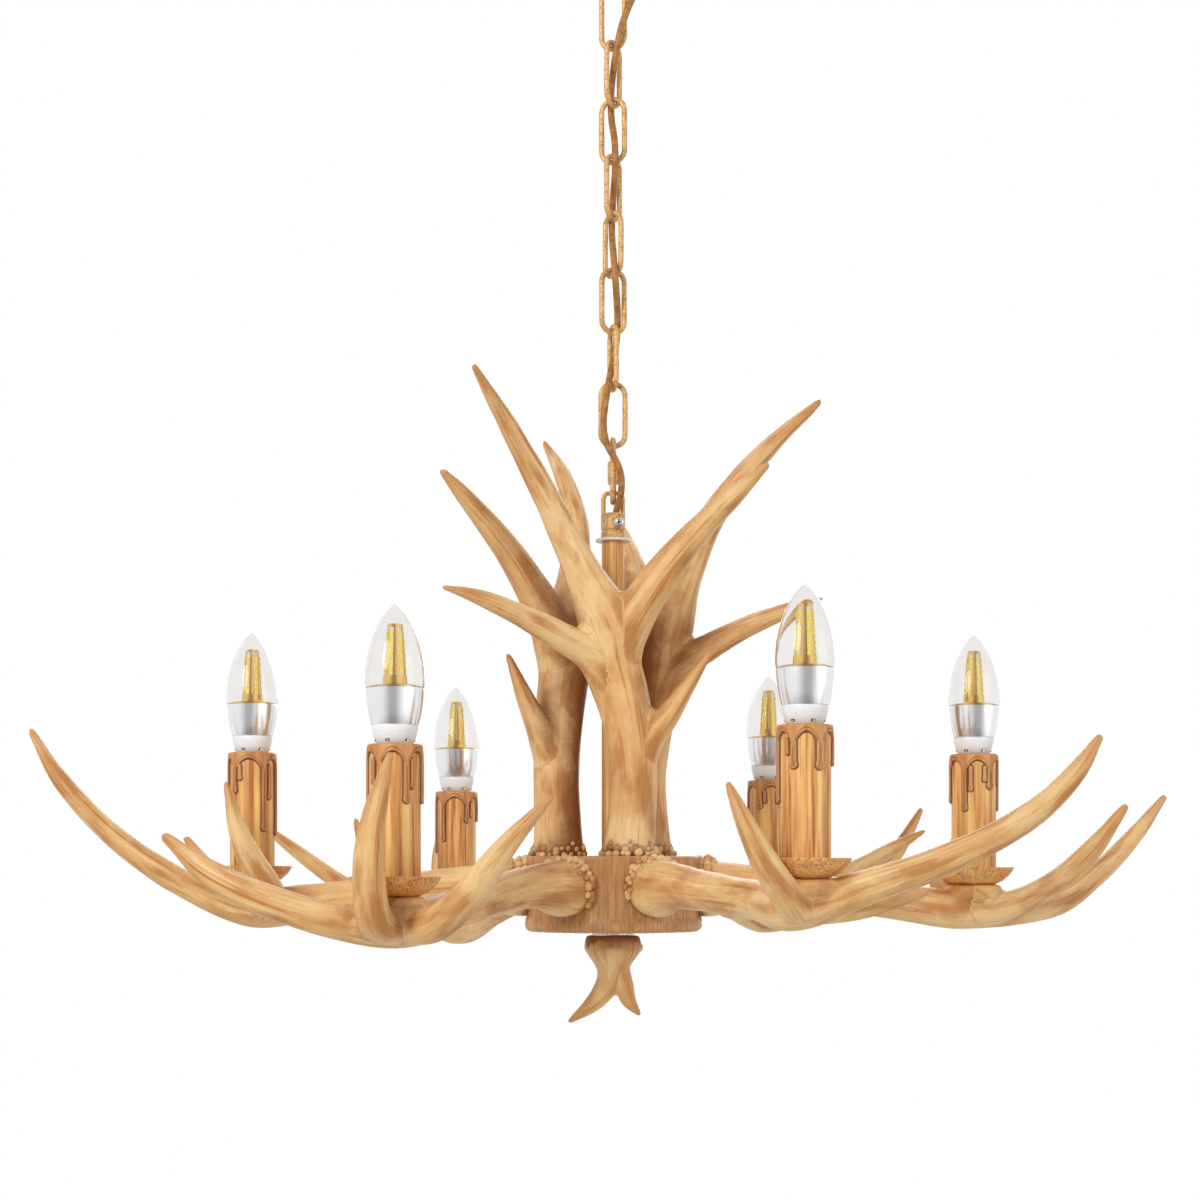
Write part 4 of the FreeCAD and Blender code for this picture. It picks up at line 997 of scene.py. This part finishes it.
class CHANDELIER_OT_arms(PieceOperator, bpy.types.Operator):
    """Builds the six arm antlers, each a beam, its tines, its foot of pearls and its lamp seat"""

    bl_idname = "chandelier.arms"
    bl_label = "Arm antlers"

    def execute(self, context):
        for i, ((turn, lamp_height), (onward, *tines)) in enumerate(zip(LAMPS, ARM_LIMBS)):
            beam = arm_beam(turn, lamp_height)
            fork = beam[-1]
            limbs = [in_metres(beam + list(onward))]
            limbs += [in_metres([fork[:3] + (min(fork[3], t[0][3] + 1),)] + list(t)) for t in tines]
            way = outward(turn)
            foot = from_lamp_plane(way.x * FOOT_REACH, way.y * FOOT_REACH, FOOT_HEIGHT)
            low, high = (-70, 122) if 0 < turn < 80 or turn < -120 else (-122, 70)
            rows = (
                (20.2, 1.1, 15, -1, low, high), (20.2, 1, 13, 4, low * 0.85, high * 0.85),
                (19.4, 0.7, 5, 9, low * 0.5, high * 0.6),
            )
            pearls = [(foot, way, look().antler.bead_radius, *row) for row in rows]
            seat_top = lamp_place(i) - Vector((0, 0, 12.2 * MM))

            def add_seat(bm, top=seat_top):
                turn_profile(bm, ((0, -9), (16, -9), (19.2, -7.5), (19.2, -0.6), (18, 0), (0, 0)), 40, top)
                turn_profile(bm, ((0, -24), (13.5, -24), (15.5, -9), (0, -9)), 32, top)

            cast(f"arm_antler_{i + 1}", limbs, pearls, 11 + i, add_seat)
        return {"FINISHED"}


class CHANDELIER_OT_uprights(PieceOperator, bpy.types.Operator):
    """Builds the three upright antlers on the hub and the small one below it"""

    bl_idname = "chandelier.uprights"
    bl_label = "Upright antlers and finial"

    def execute(self, context):
        bead = look().antler.bead_radius * 0.86
        for i, turn in enumerate(UPRIGHT_TURNS):
            limbs = [in_metres(limb, HUB_TOP - LAMP_DROP, turn) for limb in UPRIGHT_LIMBS]
            foot = Vector(limbs[0][0][:3])
            rows = ((19, 1.1, 22, 1.6), (17.6, 1, 19, 5), (16.9, 0.7, 8, 8.6))
            pearls = [(foot, Vector((0, 0, 1)), bead, *row) for row in rows]
            cast(f"upright_antler_{i + 1}", limbs, pearls, 31 + i, shade=1)
        limbs = [in_metres(limb, FINIAL_TOP - LAMP_DROP) for limb in FINIAL_LIMBS]
        cast("finial", limbs, [], 41, self.add_head, FINIAL_VOXEL)
        return {"FINISHED"}

    def add_head(self, bm):
        """Adds the small antler's lumpy head, which sits under the hub."""
        foot = from_lamp_plane(0, 0, FINIAL_TOP)
        turn_profile(bm, FINIAL_HEAD, 40, foot)
        rng = random.Random(8)
        for k in range(FINIAL_LUMPS):
            angle = 2 * math.pi * (k + rng.uniform(-0.3, 0.3)) / FINIAL_LUMPS
            reach = rng.uniform(15.6, 17.4)
            spot = Vector((reach * math.cos(angle), reach * math.sin(angle), rng.uniform(-9, -4.5))) * MM
            add_ball(bm, foot + spot, rng.uniform(3.4, 4.6) * MM)


class CHANDELIER_OT_hub(PieceOperator, bpy.types.Operator):
    """Builds the turned hub with its carved foot"""

    bl_idname = "chandelier.hub"
    bl_label = "Hub"

    def execute(self, context):
        s = look().hub
        radius = s.radius / MM
        outside = (
            (2.6, HUB_FOOT + 0.4), (0.6, HUB_FOOT + 2), (0.4, HUB_FOOT + 4.5), (1.8, HUB_FOOT + 10),
            (2.4, HUB_FOOT + 20), (0.9, HUB_TOP - 8), (0.5, HUB_TOP - 0.8), (1, HUB_TOP),
        )
        bottom = (HUB_HOLLOW, HUB_FOOT + 0.4)
        profile = [bottom] + [(radius - inset, height) for inset, height in outside]
        profile += [(8.2, HUB_TOP), (8.2, HUB_TOP - 9), (HUB_HOLLOW, HUB_TOP - 9), bottom]
        bm = bmesh.new()
        turn_profile(bm, profile, 96, (0, 0, -LAMP_DROP * MM))
        rng = random.Random(5)
        for k in range(s.lumps):
            angle = 2 * math.pi * (k + rng.uniform(-0.3, 0.3)) / s.lumps
            side = abs(math.cos(angle))
            size = rng.uniform(1.2, 2) + rng.uniform(0.8, 4.2) * side
            reach = radius + 0.6 - size + rng.uniform(-0.6, 0.4) - 1.1 * (1 - side)
            height = HUB_FOOT + size + rng.uniform(0, 4)
            add_ball(bm, from_lamp_plane(reach * math.cos(angle), reach * math.sin(angle), height), size * MM)
        mesh = join_skin(bm, HUB_VOXEL, 2)
        points, normals, edges = read_skin(mesh)
        angle = np.arctan2(points[:, 1], points[:, 0])
        strokes = stretched(np.stack([np.cos(angle), np.sin(angle), points[:, 2]], axis=1) * 22, 3)
        outer = np.hypot(points[:, 0], points[:, 1]) > (radius - 6) * MM
        points = points + normals * (outer * strokes * 0.16 * MM)[:, None]
        move_skin(mesh, points)
        # The finish colours the hub darker in its hollows, between the lumps of its foot.
        write_field(mesh, "edge", np.clip(hollows(points, normals, edges, 7) * 1.6, 0, 1))
        add_piece("hub_turned", mesh, "fixture", "hub_cast", ["hub_wood"], "hub", sharp=0)
        return {"FINISHED"}


class CHANDELIER_OT_candles(PieceOperator, bpy.types.Operator):
    """Builds the six candle sleeves with run wax, and the drip pans that they stand in"""

    bl_idname = "chandelier.candles"
    bl_label = "Candles and drip pans"

    def execute(self, context):
        bm = bmesh.new()
        for i in range(len(LAMPS)):
            node = f"candle_sleeve_{i + 1}"
            candle = self.candle(i)
            add_piece(node + "_waxed", candle, "fixture", "candle_cast", ["candle_wood"], node, sharp=0)
            turn_profile(bm, PAN, 72, lamp_place(i))
        pans = mesh_from(bm, "drip_pans")
        add_piece("drip_pans_turned", pans, "fixture", "candle_cast", ["pan_wood"], "drip_pans")
        return {"FINISHED"}

    def candle(self, index):
        """A turned sleeve whose skin is raised where wax has run down it."""
        s = look().candle
        rng = random.Random(60 + index)
        heights = [-8.4, -4, 2, 8, 14, 18] + list(np.arange(20, SLEEVE_TOP - 1.4, 0.62))
        profile = [(13.4, -8.4)] + [(SLEEVE_RADIUS, h) for h in heights]
        profile += [(reach, SLEEVE_TOP - drop) for reach, drop in SLEEVE_LIP] + [(13.4, -8.4)]
        bm = bmesh.new()
        turn_profile(bm, profile, 176)
        joints = [2 * math.pi * (k + rng.uniform(-0.16, 0.16)) / s.arches for k in range(s.arches)]
        runs = []
        for joint in joints:
            run = rng.choice((9, 14, 20, 26, 34, 42)) + rng.uniform(-2, 2)
            runs.append((joint, run, rng.uniform(1.9, 2.3)))
            if rng.random() < 0.55:
                beside = joint + rng.choice((-1, 1)) * rng.uniform(0.24, 0.32)
                runs.append((beside, run * rng.uniform(0.3, 0.6), 1.5))
        edge, waxed = bm.verts.layers.float.new("edge"), bm.verts.layers.float.new("wax")
        for v in bm.verts:
            reach = math.hypot(v.co.x, v.co.y) / MM
            height = v.co.z / MM
            if reach < 14.5 or height < 18:
                continue
            away = self.wax_gap(math.atan2(v.co.y, v.co.x), height, joints, runs)
            body = min(1.0, max(0.0, -away / 0.9))
            rim = hump(away, -1.0, 0.6) + 0.7 * hump(away, -2.9, 0.6)
            lift = s.wax_thickness * (0.72 * body * (2 - body) + 0.28 * rim) * min(1, (reach - 14.1) / 1.2)
            v.co.x *= 1 + lift / (reach * MM)
            v.co.y *= 1 + lift / (reach * MM)
            v[edge] = hump(away, 0.1, 0.42) + 0.6 * hump(away, -1.95, 0.4)
            v[waxed] = body
        bmesh.ops.translate(bm, verts=bm.verts, vec=lamp_place(index))
        return mesh_from(bm, f"candle_{index + 1}")

    def wax_gap(self, angle, height, joints, runs):
        """Distance in millimetres from the edge of the run wax, less than nothing inside it."""
        best = 99.0
        for start, end in zip(joints, joints[1:] + joints[:1]):
            share = ((angle - start) % (2 * math.pi)) / ((end - start) % (2 * math.pi))
            if share <= 1:
                arch = SLEEVE_TOP - 17.5 + 12.5 * math.sin(math.pi * share) ** 0.6
                best = min(best, (arch - height) * 0.8)
        for joint, run, half in runs:
            across = ((angle - joint + math.pi) % (2 * math.pi) - math.pi) * SLEEVE_RADIUS
            low = SLEEVE_TOP - 15 - run
            below = max(0.0, low + half - height)
            above = max(0.0, height - (SLEEVE_TOP - 10))
            swell = half * (1 + 0.22 * hump(height - low - half, 0, 2.2))
            best = min(best, math.hypot(across, below, above) - swell)
        return best


class CHANDELIER_OT_bulbs(PieceOperator, bpy.types.Operator):
    """Builds the six bulbs: screw cap, white housing, metal cup, gold column with chips, and clear shell"""

    bl_idname = "chandelier.bulbs"
    bl_label = "Bulbs"

    def execute(self, context):
        for i in range(1, len(LAMPS) + 1):
            place = lamp_place(i - 1) + Vector((0, 0, BULB_FOOT * MM))
            works, shell, body = self.works(place, 5 * i - 17), self.shell(place), f"bulb_{i}"
            add_piece(f"bulb_works_{i}", works, body, "bulb_shell", BULB_FINISHES, f"bulb_base_{i}", sharp=32)
            name, node = f"bulb_glass_shell_{i}", f"bulb_glass_{i}"
            add_piece(name, shell, body, "clear_glass", ["clear_glass"], node, sharp=60)
        return {"FINISHED"}

    def works(self, place, turn):
        """A bulb without its shell, with the way round it noted for the metals' brushing and their painted
        reflection bands.
        """
        bm = bmesh.new()
        for profile, steps, finish in BULB_TURNED:
            turn_profile(bm, profile, steps, place, BULB_FINISHES.index(finish))
        centre, spin = Matrix.Translation(place), Matrix.Rotation(math.radians(turn), 4, "Z")
        middle = Matrix.Translation(place + Vector((0, 0, 55.6 * MM)))
        column = bmesh.ops.create_cone(
            bm, cap_ends=True, segments=12, radius1=6.5 * MM, radius2=4.5 * MM, depth=COLUMN_HEIGHT * MM,
            matrix=middle @ spin @ Matrix.Rotation(math.pi / 12, 4, "Z"),
        )["verts"]
        paint_faces(column, BULB_FINISHES.index("gold_metal"))
        soften(bm, 0.35, column)
        self.add_chips(bm, centre, spin)
        for k in range(VENTS):
            way = centre @ spin @ Matrix.Rotation(2 * math.pi * k / VENTS, 4, "Z")
            self.add_box(bm, way, (11.4, 0, 2.1), (1.4, 2.6, 1.9), "dark_slot")
            self.add_box(bm, way, (11.7, 0.3, 1.6), (1.1, 1.2, 0.7), "gold_metal")
        turn_layer, reflection_layer = bm.verts.layers.float_vector.new("turn"), bm.verts.layers.float.new("reflection_band")
        for v in bm.verts:
            way = Vector((v.co.x - place.x, v.co.y - place.y, 0))
            way = way.normalized() if way.length > 1e-5 else Vector((0, -1, 0))
            v[turn_layer] = way
            # Painted reflection: light and shaded upright bands, three times round, as a studio's lamps would
            # show in the metal.
            third = (math.atan2(way.x, -way.y) + math.pi / 3) % (2 * math.pi / 3) - math.pi / 3
            v[reflection_layer] = 0.55 - 0.55 * hump(third, 0, 0.28) + 0.45 * hump(third, 0.5, 0.16)
        return mesh_from(bm, "bulb_works")

    def add_chips(self, bm, centre, spin):
        """Adds the strips of chips, which lean with the column's side."""
        s = look().bulb
        lean = Matrix.Rotation(-math.atan2(2.0, COLUMN_HEIGHT), 4, "Y")
        for row in range(s.chip_rows):
            way = spin @ Matrix.Rotation(2 * math.pi * row / s.chip_rows, 4, "Z")
            strip = centre @ way @ Matrix.Translation((5.35 * MM, 0, 55 * MM)) @ lean
            self.add_box(bm, strip, (0, 0, 0), (0.5, 2.3, 29.6), "white_plastic")
            for k in range(s.chips):
                self.add_box(bm, strip, (0.4, 0, (k - s.chips / 2) * 29 / s.chips), (0.8, 1.9, 2.8), "chip")

    def add_box(self, bm, frame_of, middle, size, finish):
        """Adds a box, placed and sized in millimetres in a frame."""
        spot = frame_of @ Matrix.Translation(Vector(middle) * MM) @ Matrix.Diagonal((*(Vector(size) * MM), 1))
        paint_faces(bmesh.ops.create_cube(bm, size=1, matrix=spot)["verts"], BULB_FINISHES.index(finish))

    def shell(self, place):
        bm = bmesh.new()
        for profile in (SHELL_OUTSIDE, SHELL_INSIDE):
            turn_profile(bm, profile, 64, place)
        bmesh.ops.remove_doubles(bm, verts=bm.verts, dist=1e-6)
        bmesh.ops.recalc_face_normals(bm, faces=bm.faces)
        return mesh_from(bm, "bulb_shell")


def hump(value, middle, width):
    return math.exp(-((value - middle) / width) ** 2)


def oval(size, turn, foot, steps=18, gap=None):
    """Points of a link's wire, with its radius, in metres; foot and the gap's ends are in millimetres."""
    long_way, wide, wire = size
    half = wide / 2 - wire / 2
    straight = long_way / 2 - wire / 2 - half
    spots = []
    for bow, middle in ((0, long_way / 2 + straight), (1, long_way / 2 - straight)):
        for i in range(steps + 1):
            angle = math.pi * (bow + i / steps)
            spots.append((half * math.cos(angle), middle + half * math.sin(angle)))
    if gap:
        spots = [(half, gap[1]), *spots, (half, gap[0])]
    angle = math.radians(turn)
    places = [from_lamp_plane(x * math.cos(angle), x * math.sin(angle), foot + height) for x, height in spots]
    return [(*place, wire / 2 * MM) for place in places]


def hammered(rows, sides, seed, cyclic=True):
    """A wire along the rows, marked with shallow dents."""
    bm = bmesh.new()
    bm.from_mesh(along_lines([rows], cyclic, sides))
    bmesh.ops.remove_doubles(bm, verts=bm.verts, dist=1e-7)
    bmesh.ops.recalc_face_normals(bm, faces=bm.faces)
    mesh = mesh_from(bm, "wire")
    points, normals, _ = read_skin(mesh)
    move_skin(mesh, points + normals * (stretched(points / 0.0021, seed) * look().chain.hammer)[:, None])
    return mesh


def add_painted(name, mesh, body, node, sharp=38):
    """Shows a piece in the chain's speckled paint."""
    add_piece(name, mesh, body, "speckled_paint", ["speckled_paint"], node, sharp=sharp)


class CHANDELIER_OT_chain(PieceOperator, bpy.types.Operator):
    """Builds the eight chain links, the ceiling loop, and the quick link with its sleeve nut"""

    bl_idname = "chandelier.chain"
    bl_label = "Chain"

    def execute(self, context):
        for i, turn in enumerate(LINK_TURNS):
            rows = oval(LINK_SIZE, turn, LAST_LINK_FOOT + (len(LINK_TURNS) - 1 - i) * LINK_PITCH)
            node = f"chain_link_{i + 1}"
            add_painted(node + "_wire", hammered(rows, 5, i), f"link_{i + 1}", node, sharp=0)
        low, high = (corner.z / MM + LAMP_DROP for corner in map(Vector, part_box("canopy_loop")))
        rows = oval((high - low, 30, 5), LINK_TURNS[0] + 90, low, steps=24)
        add_painted("canopy_loop_wire", hammered(rows, 6, 9), "ceiling", "canopy_loop", sharp=0)
        rows = oval(QUICK_SIZE, 90, QUICK_FOOT, gap=(16.6, 22.0))
        add_painted("quick_link_wire", hammered(rows, 6, 12, False), "quick", "quick_link", sharp=50)
        leg = from_lamp_plane(0, (QUICK_SIZE[1] - QUICK_SIZE[2]) / 2, QUICK_FOOT + QUICK_SIZE[0] / 2)
        nut = turned(QUICK_SLEEVE, 6, leg, 0.4)
        add_painted("quick_link_sleeve_turned", nut, "quick_sleeve", "quick_link_sleeve")
        return {"FINISHED"}


class CHANDELIER_OT_top_fitting(PieceOperator, bpy.types.Operator):
    """Builds the coupler with its eye, its set screw, the washer and the centre tube"""

    bl_idname = "chandelier.top_fitting"
    bl_label = "Top fitting and tube"

    def execute(self, context):
        top = from_lamp_plane(0, 0, TUBE_TOP)
        eye = [(*from_lamp_plane(x, 0, TUBE_TOP + z), EYE_WIRE * MM) for x, z in COUPLER_EYE]
        bm = bmesh.new()
        bm.from_mesh(turned(COUPLER, 48, top))
        bm.from_mesh(along_lines([eye], False, 5))
        add_painted("coupler_turned", mesh_from(bm, "coupler"), "fixture", "coupler")
        finishes = ["steel", "dark_slot"]
        add_piece("coupler_screw_turned", self.screw(), "fixture", "zinc_steel", finishes, "coupler_screw")
        washer = turned(WASHER, 64, top)
        add_piece("tube_washer_turned", washer, "fixture", "white_plastic", ["white_plastic"], "tube_washer")
        tube = turned(TUBE, 48, from_lamp_plane(0, 0, 0))
        add_piece("centre_tube_turned", tube, "fixture", "speckled_paint", ["tube_wood"], "centre_tube")
        return {"FINISHED"}

    def screw(self):
        """A pan-headed set screw with a cross slot, pointing back from the front."""
        bm = bmesh.new()
        turn_profile(bm, SCREW, 32)
        for size in ((4.2, 0.8, 0.7), (0.8, 4.2, 0.7)):
            spot = Matrix.Translation((0, 0, 2.05 * MM)) @ Matrix.Diagonal((*(Vector(size) * MM), 1))
            paint_faces(bmesh.ops.create_cube(bm, size=1, matrix=spot)["verts"], 1)
        place = from_lamp_plane(4, -8.5, TUBE_TOP + 10.8)
        level = Matrix.Rotation(math.pi / 2, 4, "X")
        bmesh.ops.transform(bm, matrix=Matrix.Translation(place) @ level, verts=bm.verts)
        return mesh_from(bm, "screw")


class CHANDELIER_OT_cord(PieceOperator, bpy.types.Operator):
    """Builds the cord that weaves down the chain, in stretches that each bend over one chain joint"""

    bl_idname = "chandelier.cord"
    bl_label = "Cord"

    def execute(self, context):
        line = self.centreline()
        numbers = range(1, len(LINK_TURNS) + 1)
        bodies = ["ceiling"] + [f"link_{n}" for n in numbers] + ["quick", "fixture"]
        pivots = {
            frozenset((j["parent"], j["child"])): Vector(j["pos_m"]) for j in frame["joints"] if "pos_m" in j
        }
        levels = [1.0]
        for node in [f"chain_link_{n}" for n in numbers] + ["quick_link"]:
            low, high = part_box(node)
            levels.append((low[2] + high[2]) / 2)
        levels.append(-9.0)
        for k, (upper, lower) in enumerate(zip(levels, levels[1:])):
            part = [p for p, q in zip(line, line[1:] + line[-1:]) if q.z <= upper and p.z >= lower]
            first = line.index(part[-1])
            part += line[first + 1:first + 2]
            above, below = bodies[k:k + 2]
            self.add_stretch(k + 1, part, above, below, pivots[frozenset((above, below))])
        return {"FINISHED"}

    def add_stretch(self, number, part, above, below, pivot):
        """Adds a stretch that follows the body above before a joint and the body below after it."""
        diameter = look().chain.cord_diameter
        mesh = along_lines([[(*p, diameter / 2) for p in part]], False, 5)
        mesh.materials.append(finish_named("cord_cover"))
        mesh.shade_smooth()
        piece = show(f"power_cord_{number}", mesh)
        reach = Vector((0, 0, BEND * MM))
        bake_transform(piece, above, below, start=pivot + reach, end=pivot - reach)
        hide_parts("power_cord")

    def centreline(self):
        """Points of the cord's own smooth line, from the ceiling down."""
        curve = bpy.data.curves.new("cord_line", "CURVE")
        curve.dimensions = "3D"
        spline = curve.splines.new("NURBS")
        spline.points.add(len(CORD_ROUTE) - 1)
        for point, row in zip(spline.points, CORD_ROUTE):
            point.co = (*from_lamp_plane(*row), 1)
        spline.order_u = 3
        spline.use_endpoint_u = True
        spline.resolution_u = 16
        return [v.co.copy() for v in mesh_of(curve).vertices]


class CHANDELIER_OT_ceiling_plate(PieceOperator, bpy.types.Operator):
    """Builds the ceiling canopy with its stem, collar and cord bush"""

    bl_idname = "chandelier.ceiling_plate"
    bl_label = "Ceiling plate"

    def execute(self, context):
        add_painted("ceiling_canopy_spun", turned(CANOPY, 96), "ceiling", "ceiling_canopy")
        add_painted("loop_collar_turned", turned(COLLAR, 48, round_by=0.2), "ceiling", "loop_collar")
        add_painted("canopy_stem_turned", turned(STEM, 40), "ceiling", "canopy_stem")
        bush = turned(BUSH, 36, (CORD_ROUTE[0][0] * MM, CORD_ROUTE[0][1] * MM, 0))
        add_piece("cord_bush_turned", bush, "ceiling", "bush_plastic", ["bush_plastic"], "cord_bush")
        return {"FINISHED"}


class CHANDELIER_OT_hardware(PieceOperator, bpy.types.Operator):
    """Gives the fixings and holders that keep their solids their finishes"""

    bl_idname = "chandelier.hardware"
    bl_label = "Fixings and holders"

    def execute(self, context):
        for name, nodes in KEPT_SOLIDS.items():
            for node in nodes:
                materials = frame["nodes"][node].data.materials
                materials.clear()
                materials.append(finish_named(name))
        return {"FINISHED"}


class CHANDELIER_OT_stage(PieceOperator, bpy.types.Operator):
    """Sets the floor, the soft light and the camera"""

    bl_idname = "chandelier.stage"
    bl_label = "Floor, light and camera"

    def execute(self, context):
        s = look().stage
        scene = context.scene
        bm = bmesh.new()
        below = Matrix.Translation((0, 0, -s.floor_drop))
        bmesh.ops.create_circle(bm, cap_ends=True, segments=96, radius=3.0, matrix=below)
        floor = show("floor", mesh_from(bm, "floor"))
        floor.data.materials.append(finish_named("floor_white"))
        self.light_world(scene, s.sky)
        for name, place, width, power in LIGHTS:
            light = bpy.data.lights.new(name, "AREA")
            light.shape = "DISK"
            light.size = width
            light.energy = power
            holder = show(name, light)
            holder.location = place
            holder.rotation_euler = (Vector(LIT_SPOT) - Vector(place)).to_track_quat("-Z", "Y").to_euler()
            holder.visible_transmission = False
        camera = bpy.data.cameras.new("camera")
        camera.lens = s.lens
        camera.sensor_width = 36
        camera.shift_y = CAMERA_SHIFT
        eye = show("camera", camera)
        eye.location = (CAMERA_ASIDE * MM, -s.camera_distance, -LAMP_DROP * MM)
        eye.rotation_euler = (math.pi / 2, 0, 0)
        scene.camera = eye
        scene.view_settings.view_transform = "Standard"
        return {"FINISHED"}

    def light_world(self, scene, strength):
        """Lights the scene evenly, with a brighter sky where it is seen or mirrored."""
        world = bpy.data.worlds.new("studio")
        world.use_nodes = True
        tree = world.node_tree
        path = add_node(tree, "ShaderNodeLightPath")
        seen = path.outputs["Is Camera Ray"]
        for name in ("Is Glossy Ray", "Is Transmission Ray"):
            inputs = {0: seen, 1: path.outputs[name]}
            seen = add_node(tree, "ShaderNodeMath", inputs, operation="MAXIMUM").outputs[0]
        sky = tree.nodes["Background"]
        tree.links.new(remap(tree, seen, 0, 1, strength, 1.0), sky.inputs["Strength"])
        sky.inputs["Color"].default_value = (1, 1, 1, 1)
        scene.world = world


class CHANDELIER_PT_panel(bpy.types.Panel):
    """Lists the chandelier's pieces and their sizes and colours"""

    bl_idname = "CHANDELIER_PT_panel"
    bl_label = "Antler chandelier"
    bl_space_type = "VIEW_3D"
    bl_region_type = "UI"
    bl_category = "Chandelier"

    def draw(self, context):
        layout = self.layout
        for operator in OPERATORS:
            layout.operator(operator.bl_idname)
        for name, group in LOOKS.items():
            box = layout.box()
            box.label(text=name.capitalize())
            for key in group.__annotations__:
                box.prop(getattr(look(), name), key)


OPERATORS = (
    CHANDELIER_OT_stage, CHANDELIER_OT_cord, CHANDELIER_OT_ceiling_plate, CHANDELIER_OT_chain,
    CHANDELIER_OT_top_fitting, CHANDELIER_OT_hub, CHANDELIER_OT_arms, CHANDELIER_OT_uprights,
    CHANDELIER_OT_candles, CHANDELIER_OT_bulbs, CHANDELIER_OT_hardware,
)
CLASSES = (*LOOKS.values(), ChandelierLook, *OPERATORS, CHANDELIER_PT_panel)


def register():
    for cls in CLASSES:
        bpy.utils.register_class(cls)
    bpy.types.Scene.chandelier_look = PointerProperty(type=ChandelierLook)


def unregister():
    del bpy.types.Scene.chandelier_look
    for cls in reversed(CLASSES):
        bpy.utils.unregister_class(cls)


def main():
    register()
    bpy.ops.chandelier.stage()
    bpy.ops.chandelier.cord()
    bpy.ops.chandelier.ceiling_plate()
    bpy.ops.chandelier.chain()
    bpy.ops.chandelier.top_fitting()
    bpy.ops.chandelier.hub()
    bpy.ops.chandelier.arms()
    bpy.ops.chandelier.uprights()
    bpy.ops.chandelier.candles()
    bpy.ops.chandelier.bulbs()
    bpy.ops.chandelier.hardware()


if __name__ == "__main__":
    main()
